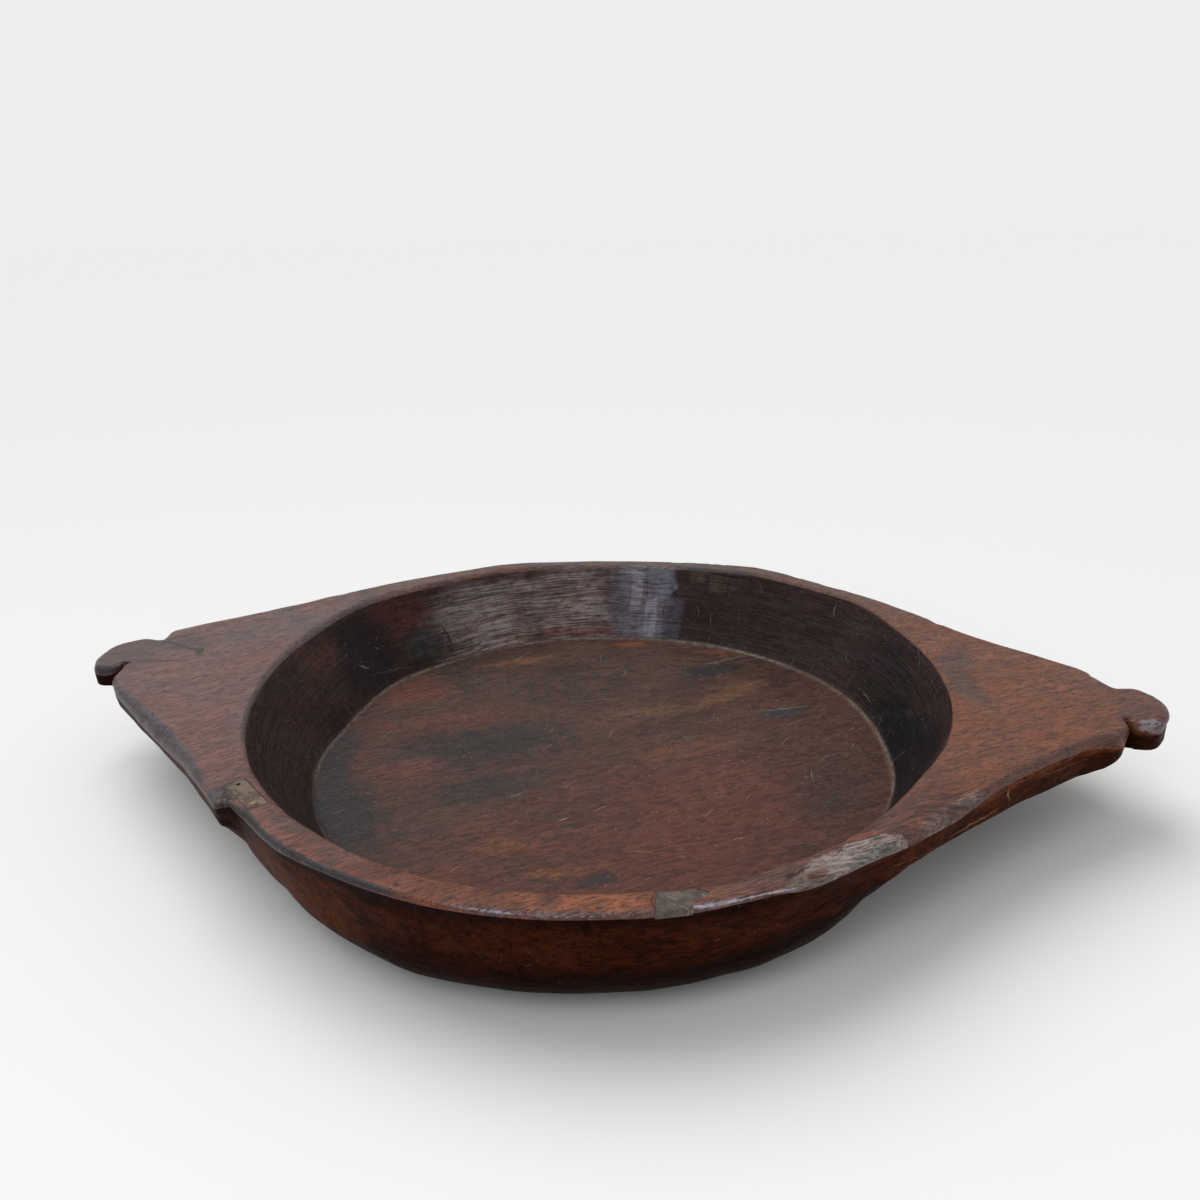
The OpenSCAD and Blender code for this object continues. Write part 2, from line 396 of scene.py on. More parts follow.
class Graph:
    """Adds nodes to one tree and links them, in few words."""

    def __init__(self, tree: bpy.types.NodeTree) -> None:
        """Keeps the tree that the nodes go into."""
        self.tree = tree

    def node(self, kind: str, **settings: object) -> bpy.types.Node:
        """Adds a shader node of a kind, with its settings."""
        made = self.tree.nodes.new("ShaderNode" + kind)
        for name, value in settings.items():
            setattr(made, name, value)
        return made

    def feed(self, socket: Socket, value: object) -> None:
        """Links an output to a socket, or writes a value on the socket."""
        if isinstance(value, Socket):
            self.tree.links.new(value, socket)
        else:
            socket.default_value = value

    def math(self, operation: str, *values: object) -> Socket:
        """Adds a math node for the values and returns its result."""
        made = self.node("Math", operation=operation)
        for socket, value in zip(made.inputs, values):
            self.feed(socket, value)
        return made.outputs[0]

    def vector(self, operation: str, *values: object) -> Socket:
        """Adds a vector math node for the values and returns its vector or its number."""
        made = self.node("VectorMath", operation=operation)
        for socket, value in zip(made.inputs, values):
            self.feed(socket, value)
        return made.outputs[1 if operation in ("LENGTH", "DOT_PRODUCT") else 0]

    def turn(self, place: object, angle: object) -> Socket:
        """Turns a vector about Z by an angle in radians."""
        made = self.node("VectorRotate", rotation_type="Z_AXIS")
        self.feed(made.inputs["Vector"], place)
        self.feed(made.inputs["Angle"], angle)
        return made.outputs[0]

    def parts(self, place: object) -> tuple[Socket, ...]:
        """Splits a vector into its x, y and z."""
        made = self.node("SeparateXYZ")
        self.feed(made.inputs[0], place)
        return tuple(made.outputs)

    def join(self, x: object, y: object, z: object) -> Socket:
        """Makes a vector from x, y and z."""
        made = self.node("CombineXYZ")
        for socket, value in zip(made.inputs, (x, y, z)):
            self.feed(socket, value)
        return made.outputs[0]

    def mix(self, share: object, low: object, high: object) -> Socket:
        """Mixes two colours: the low one where the share is 0, the high one where it is 1."""
        made = self.node("Mix", data_type="RGBA")
        for place, value in ((0, share), (6, low), (7, high)):
            self.feed(made.inputs[place], value)
        return made.outputs[2]

    def ease(
        self, value: object, low: object, high: object, start: object = 0.0, end: object = 1.0
    ) -> Socket:
        """Eases a value between low and high to a range from start to end.

        Args:
            value: The value to ease.
            low: Value at which the result leaves start.
            high: Value at which it reaches end.
            start: Result at low and below.
            end: Result at high and above.

        Returns:
            The eased value.
        """
        made = self.node("MapRange", interpolation_type="SMOOTHSTEP")
        for socket, item in zip(made.inputs, (value, low, high, start, end)):
            self.feed(socket, item)
        return made.outputs[0]

    def clouds(
        self, place: object, size: Triple, detail: float = 3.0, rough: float = 0.55
    ) -> Socket:
        """Noise of clouds with a size along each axis.

        Args:
            place: Vector to look the noise up at.
            size: Length of the clouds along each axis.
            detail: Layers of finer clouds.
            rough: Strength of each finer layer.

        Returns:
            A value about 0.5, mostly from 0.25 to 0.75.
        """
        made = self.node("TexNoise")
        self.feed(made.inputs["Vector"], self.vector("DIVIDE", place, size))
        self.feed(made.inputs["Scale"], 1.0)
        self.feed(made.inputs["Detail"], detail)
        self.feed(made.inputs["Roughness"], rough)
        return made.outputs[0]

    def bump(self, height: object, strength: float, distance: float) -> Socket:
        """Makes a normal from a height.

        Args:
            height: The height, which stands out by the whole distance at 1.
            strength: Strength of the bump.
            distance: The distance in metres.

        Returns:
            The normal.
        """
        made = self.node("Bump")
        made.inputs["Strength"].default_value = strength
        made.inputs["Distance"].default_value = distance
        self.feed(made.inputs["Height"], height)
        return made.outputs[0]

    def use(self, effect: "Effect", **values: object) -> Sockets:
        """Adds a shared effect with its values and returns its outputs by name."""
        made = self.node("Group", node_tree=effect.tree())
        for name, value in values.items():
            self.feed(made.inputs[name], value)
        return {socket.name: socket for socket in made.outputs}


@dataclass(frozen=True)
class Effect:
    """A node group that several materials share, drawn the first time it is used."""

    name: str
    inputs: dict[str, object]
    draw: Callable[[Graph, Sockets], Sockets]

    def tree(self) -> bpy.types.NodeTree:
        """The effect's node group."""
        known = bpy.data.node_groups.get(self.name)
        if known is not None:
            return known
        tree = bpy.data.node_groups.new(self.name, "ShaderNodeTree")
        for name, value in self.inputs.items():
            kind = "NodeSocketVector" if isinstance(value, tuple) else "NodeSocketFloat"
            socket = tree.interface.new_socket(name, in_out="INPUT", socket_type=kind)
            socket.default_value = value
        entry = tree.nodes.new("NodeGroupInput")
        given = {name: entry.outputs[name] for name in self.inputs}
        results = self.draw(Graph(tree), given)
        for name in results:
            tree.interface.new_socket(name, in_out="OUTPUT", socket_type="NodeSocketFloat")
        leave = tree.nodes.new("NodeGroupOutput")
        for name, result in results.items():
            tree.links.new(result, leave.inputs[name])
        return tree


def start_material(name: str) -> tuple[bpy.types.Material, Graph, bpy.types.Node, Socket]:
    """Starts a material.

    Args:
        name: The material's name.

    Returns:
        The material, its nodes, its shader, and places on the object in millimetres.
    """
    material = bpy.data.materials.new(name)
    material.use_nodes = True
    graph = Graph(material.node_tree)
    shader = material.node_tree.nodes["Principled BSDF"]
    place = graph.vector("MULTIPLY", graph.node("TexCoord").outputs["Object"], (1000.0,) * 3)
    return material, graph, shader, place


# Place along the fibres, in millimetres, at whose left they begin to bow
BOW_START = -100.0


def draw_grain(graph: Graph, given: Sockets) -> Sockets:
    """Draws wood grain round places in millimetres, whose x runs along the fibres.

    The fibres swing to and fro by clouds, and at the left they bow more and more to one side.

    Args:
        graph: The effect's nodes.
        given: Its inputs.

    Returns:
        Broad figure, fine fibres, dark pores, large clouds and small mottles.
    """
    place = given["Place"]
    drift = graph.clouds(place, (75.0, 30.0, 45.0), 2.0)
    swing = graph.math("MULTIPLY", graph.math("SUBTRACT", drift, 0.5), given["Swing"])
    past = graph.math("MINIMUM", graph.math("SUBTRACT", graph.parts(place)[0], BOW_START), 0.0)
    bow = graph.math("MULTIPLY", graph.math("MULTIPLY", past, past), given["Bow"])
    bent = graph.vector("ADD", place, graph.join(0.0, graph.math("ADD", swing, bow), swing))
    slim = graph.vector("DIVIDE", bent, graph.join(given["Length"], 1.0, 1.0))
    pores = graph.clouds(slim, (5.5, 0.6, 0.6), 1.0)
    return {
        "Figure": graph.clouds(bent, (60.0, 5.0, 5.0), 4.0, 0.6),
        "Fibre": graph.clouds(slim, (16.0, 0.9, 0.9), 3.0, 0.6),
        "Pores": graph.ease(pores, 0.60, 0.72),
        "Cloud": graph.clouds(place, (55.0, 32.0, 32.0), 4.0, 0.6),
        "Mottle": graph.clouds(bent, (7.5, 4.6, 4.6), 5.0, 0.74),
    }


def draw_stain_and_light(graph: Graph, given: Sockets) -> Sockets:
    """Draws a ragged patch, with a soft or a crisp edge, that is round or square.

    Args:
        graph: The effect's nodes.
        given: Its inputs.

    Returns:
        The patch's mask.
    """
    gap = graph.vector("SUBTRACT", given["Place"], given["Centre"])
    turned = graph.turn(gap, graph.math("MULTIPLY", given["Turn"], -1.0))
    scaled = graph.vector("ABSOLUTE", graph.vector("DIVIDE", turned, given["Half"]))
    x, y, _ = graph.parts(scaled)
    oval = graph.vector("LENGTH", scaled)
    squarer = graph.math("SUBTRACT", graph.math("MAXIMUM", x, y), oval)
    reach = graph.math("MULTIPLY_ADD", squarer, given["Square"], oval)
    shift = graph.math("MULTIPLY", graph.math("SUBTRACT", given["Rough"], 0.5), given["Ragged"])
    low = graph.math("MULTIPLY_ADD", given["Soft"], -0.5, 0.92)
    high = graph.math("MULTIPLY_ADD", given["Soft"], 0.5, 0.92)
    return {"Mask": graph.ease(graph.math("ADD", reach, shift), low, high, 1.0, 0.0)}


def draw_crack(graph: Graph, given: Sockets) -> Sockets:
    """Draws a thin line between two places.

    Args:
        graph: The effect's nodes.
        given: Its inputs.

    Returns:
        The line's mask.
    """
    run = graph.vector("SUBTRACT", given["End"], given["Start"])
    gap = graph.vector("SUBTRACT", given["Place"], given["Start"])
    share = graph.math("DIVIDE", graph.vector("DOT_PRODUCT", gap, run), graph.vector("DOT_PRODUCT", run, run))
    share = graph.math("MINIMUM", graph.math("MAXIMUM", share, 0.0), 1.0)
    rest = graph.vector("LENGTH", graph.vector("SUBTRACT", gap, graph.vector("MULTIPLY", run, share)))
    slim = graph.math("MULTIPLY", graph.math("SUBTRACT", 1.0, share), share)
    width = graph.math("MULTIPLY", given["Width"], graph.math("SQRT", graph.math("MULTIPLY", slim, 4.0)))
    return {"Mask": graph.ease(rest, graph.math("MULTIPLY", width, 0.3), width, 1.0, 0.0)}


def draw_nicks(graph: Graph, given: Sockets) -> Sockets:
    """Draws short scratches that are scattered over a plane.

    Args:
        graph: The effect's nodes.
        given: Its inputs.

    Returns:
        The scratches' mask.
    """
    flat = graph.vector("DIVIDE", given["Place"], given["Cell"])
    cells = graph.node("TexVoronoi", voronoi_dimensions="2D")
    graph.feed(cells.inputs["Vector"], flat)
    graph.feed(cells.inputs["Scale"], 1.0)
    picks = graph.parts(cells.outputs["Color"])
    gap = graph.vector("SUBTRACT", flat, cells.outputs["Position"])
    gap = graph.vector("MULTIPLY", gap, given["Cell"])
    lean = graph.math("MULTIPLY", graph.math("SUBTRACT", picks[0], 0.5), given["Spread"])
    x, y, _ = graph.parts(graph.turn(gap, graph.math("ADD", lean, given["Turn"])))
    length = graph.math("MULTIPLY", given["Length"], graph.math("ADD", picks[2], 0.3))
    along = graph.ease(graph.math("ABSOLUTE", x), graph.math("MULTIPLY", length, 0.5), length, 1.0, 0.0)
    curve = graph.math("MULTIPLY", graph.math("MULTIPLY", x, x), graph.math("DIVIDE", 0.08, length))
    off = graph.math("ABSOLUTE", graph.math("ADD", y, curve))
    thin = graph.ease(off, graph.math("MULTIPLY", given["Width"], 0.3), given["Width"], 1.0, 0.0)
    chosen = graph.math("LESS_THAN", picks[1], given["Chance"])
    return {"Mask": graph.math("MULTIPLY", graph.math("MULTIPLY", along, thin), chosen)}


ORIGIN = (0.0, 0.0, 0.0)
GRAIN = Effect("wood_grain", {"Place": ORIGIN, "Swing": 20.0, "Bow": 0.0, "Length": 1.0}, draw_grain)
STAIN_AND_LIGHT = Effect(
    "stain_and_light_patch",
    {
        "Place": ORIGIN,
        "Rough": 0.5,
        "Centre": ORIGIN,
        "Half": (1.0, 1.0, 1.0),
        "Turn": 0.0,
        "Ragged": 0.8,
        "Soft": 0.65,
        "Square": 0.0,
    },
    draw_stain_and_light,
)
CRACK = Effect(
    "crack_line",
    {"Place": ORIGIN, "Start": ORIGIN, "End": (1.0, 0.0, 0.0), "Width": 0.5},
    draw_crack,
)
NICKS = Effect(
    "nicks",
    {
        "Place": ORIGIN,
        "Cell": 20.0,
        "Length": 4.0,
        "Width": 0.4,
        "Chance": 0.5,
        "Turn": 0.0,
        "Spread": 2.0,
    },
    draw_nicks,
)


# Finishes


class Edge(Enum):
    """Edges of the bowl that a patch of colour can keep to, in the order of the mesh's attributes."""

    ARRIS = "arris"
    SEAM = "seam"
    MOUTH = "mouth"
    # Middle line of the upper arris, along which a highlight is painted
    ARRIS_LINE = "arris line"


@dataclass(frozen=True)
class StainAndLight:
    """A patch of another colour on the wood. Most are real discolouring; some are painted highlights, painted
    reflections and painted shade.

    On the rim, the handles and the floor the centre and the half sizes are x and y in
    millimetres. On the hollow's wall and outside they are the bearing in degrees and the
    height in millimetres. The turn is in degrees. Streaks make it show in the fibres only.
    """

    centre: Pair
    half: Pair
    turn: float
    colour: Triple
    share: float = 0.8
    ragged: float = 0.9
    soft: float = 0.65
    square: float = 0.0
    streaks: float = 0.0
    edge: Edge | None = None


@dataclass(frozen=True)
class Crack:
    """A crack or a scratch from start to end, given as a patch's centre is."""

    start: Pair
    end: Pair
    width: float = 0.6
    colour: Triple = (14, 9, 8)


class Chart(Enum):
    """How a part of the bowl is laid out flat for its stains."""

    PLAN = "plan"
    HOLLOW = "hollow"
    OUTSIDE = "outside"


# Millimetres along the wall for one degree of bearing
PER_DEGREE = {Chart.PLAN: 1.0, Chart.HOLLOW: 3.58, Chart.OUTSIDE: 3.93}
# Turn of the fibres from X in degrees, and their bow at the left, per millimetre
GRAIN_TURN = 28.0
GRAIN_BOW = 0.0008
# Light of the darkest and the lightest strokes, as shares of the wood's own
DARKEST = 0.15
LIGHTEST = 1.4
# Gain of red, green and blue in strokes that are lighter than the wood, which are greyed as a painted sheen
SHEEN_GREY_GAINS = (-0.3, 0.25, 0.6)
PORE_COLOUR = (24, 13, 10)
DUST_COLOUR = (124, 122, 108)


@dataclass(frozen=True)
class WoodFinish:
    """The oiled and worn hardwood as it looks on one part of the bowl."""

    name: str
    base: Triple
    stains_and_light: tuple[StainAndLight, ...]
    cracks: tuple[Crack, ...] = ()
    chart: Chart = Chart.PLAN
    swing: float = 20.0
    fibre_length: float = 1.0
    figure: float = 0.7
    fibre: float = 1.2
    cloud: float = 0.9
    mottle: float = 1.0
    hue: float = 0.5
    roughness: float = 0.45
    polish: float = 0.15
    specular: float = 0.5
    pores: float = 0.5
    nick_colour: Triple = (130, 112, 100)
    nick_cell: float = 16.0
    nick_length: float = 2.6
    nick_share: float = 0.45
    nick_turn: float = 20.0
    relief: float = 0.35
    dust: float = 0.0

    def chart_place(self, graph: Graph, place: Socket) -> Socket:
        """Lays the part out flat, in millimetres.

        Args:
            graph: The material's nodes.
            place: Places in millimetres.

        Returns:
            Places on the flat chart.
        """
        x, y, z = graph.parts(place)
        if self.chart is Chart.PLAN:
            return graph.join(x, y, 0.0)
        if self.chart is Chart.HOLLOW:
            bearing = graph.math("SUBTRACT", math.pi / 2, graph.math("ARCTAN2", x, y))
        else:
            bearing = graph.math("ARCTAN2", y, x)
        run = graph.math("MULTIPLY", bearing, math.degrees(1.0) * PER_DEGREE[self.chart])
        return graph.join(run, z, 0.0)

    def on_chart(self, pair: Pair, depth: float) -> Triple:
        """A table's pair as a place or a size on the flat chart, in millimetres."""
        return (pair[0] * PER_DEGREE[self.chart], pair[1], depth)

    def build(self) -> bpy.types.Material:
        """Makes the material."""
        material, graph, shader, place = start_material(self.name)
        flat = self.chart_place(graph, place)
        grain = self.grained(graph, place, flat)
        edges = self.edges(graph)
        colour, moved = self.stained_and_lit(graph, flat, grain, edges)
        colour = self.stroked(graph, grain, colour)
        pores = graph.math("MULTIPLY", grain["Pores"], self.pores)
        colour = graph.mix(pores, colour, tone(*PORE_COLOUR))
        colour, split = self.cracked(graph, moved, colour)
        nicks = self.nicked(graph, flat)
        if self.chart is Chart.OUTSIDE:
            above_base = graph.ease(graph.parts(place)[2], 2.0, 6.0)
            nicks = graph.math("MULTIPLY", nicks, above_base)
        faint = graph.ease(grain["Cloud"], 0.35, 0.65, 0.25, 0.9)
        colour = graph.mix(graph.math("MULTIPLY", nicks, faint), colour, tone(*self.nick_colour))
        if self.dust:
            colour = self.dusted(graph, place, edges[Edge.SEAM], colour)
        graph.feed(shader.inputs["Base Color"], colour)
        rough = graph.ease(grain["Cloud"], 0.3, 0.7, self.roughness - 0.06, self.roughness + 0.08)
        rough = graph.math("ADD", rough, graph.math("MULTIPLY", nicks, 0.2))
        worn = graph.math("MULTIPLY", edges[Edge.ARRIS], self.polish)
        graph.feed(shader.inputs["Roughness"], graph.math("SUBTRACT", rough, worn))
        shader.inputs["Specular IOR Level"].default_value = self.specular
        height = self.height(graph, grain, pores, graph.math("MAXIMUM", split, nicks))
        graph.feed(shader.inputs["Normal"], graph.bump(height, self.relief, 0.0012))
        return material

    def grained(self, graph: Graph, place: Socket, flat: Socket) -> Sockets:
        """Draws the grain: round the wall in the hollow, and straight through the block elsewhere.

        Args:
            graph: The material's nodes.
            place: Places in millimetres.
            flat: Places on the flat chart.

        Returns:
            Outputs of the grain.
        """
        if self.chart is Chart.HOLLOW:
            return graph.use(GRAIN, Place=flat, Swing=self.swing, Length=self.fibre_length)
        fibres = graph.turn(place, math.radians(-GRAIN_TURN))
        return graph.use(GRAIN, Place=fibres, Swing=self.swing, Bow=GRAIN_BOW, Length=self.fibre_length)

    def edges(self, graph: Graph) -> dict[Edge, Socket]:
        """Nearness of each edge of the bowl, 1 on it, as the mesh's attributes give it."""
        near = graph.parts(graph.node("Attribute", attribute_name="edges").outputs["Vector"])
        line = graph.parts(graph.node("Attribute", attribute_name="arris_line").outputs["Vector"])
        return dict(zip(Edge, (*near, line[0])))

    def stroked(self, graph: Graph, grain: Sockets, colour: object) -> Socket:
        """Darkens and lightens a colour in the strokes of the grain, and greys the lighter strokes as a
        painted sheen.

        Args:
            graph: The material's nodes.
            grain: Outputs of the grain.
            colour: The colour so far.

        Returns:
            The colour with the strokes.
        """
        light: object = 1.0
        layers = {"Figure": self.figure, "Fibre": self.fibre, "Cloud": self.cloud, "Mottle": self.mottle}
        for layer, share in layers.items():
            swing = graph.math("MULTIPLY_ADD", graph.math("SUBTRACT", grain[layer], 0.5), share, 1.0)
            light = graph.math("MULTIPLY", graph.math("MAXIMUM", swing, 0.3), light)
        light = graph.math("MINIMUM", graph.math("MAXIMUM", light, DARKEST), LIGHTEST)
        over = graph.math("MAXIMUM", graph.math("SUBTRACT", light, 1.0), 0.0)
        # Painted sheen: strokes lighter than the wood are greyed
        sheen_grey = graph.join(*(graph.math("MULTIPLY_ADD", over, gain, light) for gain in SHEEN_GREY_GAINS))
        warm = graph.math("MULTIPLY_ADD", graph.math("SUBTRACT", grain["Mottle"], 0.5), self.hue, 1.0)
        amber = graph.math("MULTIPLY_ADD", warm, 0.4, 0.6)
        cool = graph.math("SUBTRACT", 2.0, warm)
        tint = graph.vector("MULTIPLY", graph.join(warm, amber, cool), sheen_grey)
        return graph.vector("MULTIPLY", colour, tint)

    def height(self, graph: Graph, grain: Sockets, pores: object, lines: object) -> Socket:
        """Height of the wood's small relief.

        Args:
            graph: The material's nodes.
            grain: Outputs of the grain.
            pores: Mask of the pores, which lie low.
            lines: Mask of the cracks and scratches, which lie lower.

        Returns:
            The height, about from 0 to 2.
        """
        height = graph.math("MULTIPLY_ADD", grain["Fibre"], 0.6, graph.math("MULTIPLY", grain["Figure"], 0.5))
        height = graph.math("MULTIPLY_ADD", grain["Mottle"], 0.8, height)
        height = graph.math("SUBTRACT", height, graph.math("MULTIPLY", pores, 0.25))
        return graph.math("SUBTRACT", height, graph.math("MULTIPLY", lines, 0.6))

    def stained_and_lit(
        self, graph: Graph, flat: Socket, grain: Sockets, edges: dict[Edge, Socket]
    ) -> tuple[Socket, Socket]:
        """Lays the patches of colour, real discolouring and painted light, over the wood's base colour.

        Each patch moves the places of the ones after it a little, so that their edges differ.

        Args:
            graph: The material's nodes.
            flat: Places on the flat chart.
            grain: Outputs of the grain.
            edges: Nearness of each edge, 1 on it.

        Returns:
            The colour and the moved places.
        """
        colour = tone(*self.base)
        rough = graph.clouds(flat, (17.0, 12.0, 12.0), 5.0, 0.68)
        for colour_patch in self.stains_and_light:
            mask = graph.use(
                STAIN_AND_LIGHT,
                Place=flat,
                Rough=rough,
                Centre=self.on_chart(colour_patch.centre, 0.0),
                Half=self.on_chart(colour_patch.half, 1.0),
                Turn=math.radians(colour_patch.turn),
                Ragged=colour_patch.ragged,
                Soft=colour_patch.soft,
                Square=colour_patch.square,
            )["Mask"]
            if colour_patch.streaks:
                streak = graph.ease(grain["Fibre"], 0.38, 0.62, 1.0 - colour_patch.streaks, 1.0)
                mask = graph.math("MULTIPLY", mask, streak)
            if colour_patch.edge is not None:
                mask = graph.math("MULTIPLY", mask, edges[colour_patch.edge])
            colour = graph.mix(graph.math("MULTIPLY", mask, colour_patch.share), colour, tone(*colour_patch.colour))
            flat = graph.vector("ADD", flat, graph.math("MULTIPLY", mask, 0.3))
        return colour, flat

    def cracked(self, graph: Graph, flat: Socket, colour: object) -> tuple[Socket, Socket]:
        """Draws the cracks over a colour.

        Args:
            graph: The material's nodes.
            flat: Places on the flat chart.
            colour: The colour so far.

        Returns:
            The colour with the cracks, and the mask of them all.
        """
        split: object = 0.0
        sway = graph.math("SUBTRACT", graph.clouds(flat, (6.0, 6.0, 6.0), 3.0), 0.5)
        drift = graph.math("SUBTRACT", graph.clouds(flat, (4.0, 9.0, 9.0), 3.0), 0.5)
        wander = graph.join(graph.math("MULTIPLY", sway, 5.0), graph.math("MULTIPLY", drift, 5.0), 0.0)
        flat = graph.vector("ADD", flat, wander)
        for crack in self.cracks:
            mask = graph.use(
                CRACK,
                Place=flat,
                Start=self.on_chart(crack.start, 0.0),
                End=self.on_chart(crack.end, 0.0),
                Width=crack.width,
            )["Mask"]
            colour = graph.mix(graph.math("MULTIPLY", mask, 0.9), colour, tone(*crack.colour))
            split = graph.math("MAXIMUM", mask, split)
            flat = graph.vector("ADD", flat, graph.math("MULTIPLY", mask, 0.2))
        return colour, split

    def nicked(self, graph: Graph, flat: Socket) -> Socket:
        """Draws small scratches of two sizes.

        Args:
            graph: The material's nodes.
            flat: Places on the flat chart.

        Returns:
            The mask of them all.
        """
        turn = math.radians(-self.nick_turn)
        long = graph.use(
            NICKS,
            Place=flat,
            Cell=self.nick_cell * 1.9,
            Length=self.nick_length * 1.9,
            Width=0.45,
            Turn=turn,
            Chance=self.nick_share * 0.7,
        )
        short = graph.use(
            NICKS,
            Place=graph.vector("ADD", flat, (431.0, 257.0, 0.0)),
            Cell=self.nick_cell * 0.6,
            Length=self.nick_length * 0.45,
            Width=0.4,
            Turn=turn,
            Chance=self.nick_share,
            Spread=4.0,
        )
        return graph.math("MAXIMUM", long["Mask"], short["Mask"])

    def dusted(self, graph: Graph, place: Socket, seam: object, colour: object) -> Socket:
        """Lays old flour dust into the seam between the floor and the wall.

        Args:
            graph: The material's nodes.
            place: Places in millimetres.
            seam: Nearness of the seam, 1 on it.
            colour: The colour so far.

        Returns:
            The colour with the dust.
        """
        patchy = graph.ease(graph.clouds(place, (5.0, 5.0, 2.0), 5.0, 0.8), 0.38, 0.62)
        stretch = graph.ease(graph.clouds(place, (52.0, 52.0, 52.0), 2.0), 0.36, 0.60, 0.25, 1.0)
        thick = graph.math("MULTIPLY", stretch, self.dust)
        mask = graph.math("MULTIPLY", graph.math("MULTIPLY", seam, patchy), thick)
        return graph.mix(mask, colour, tone(*DUST_COLOUR))


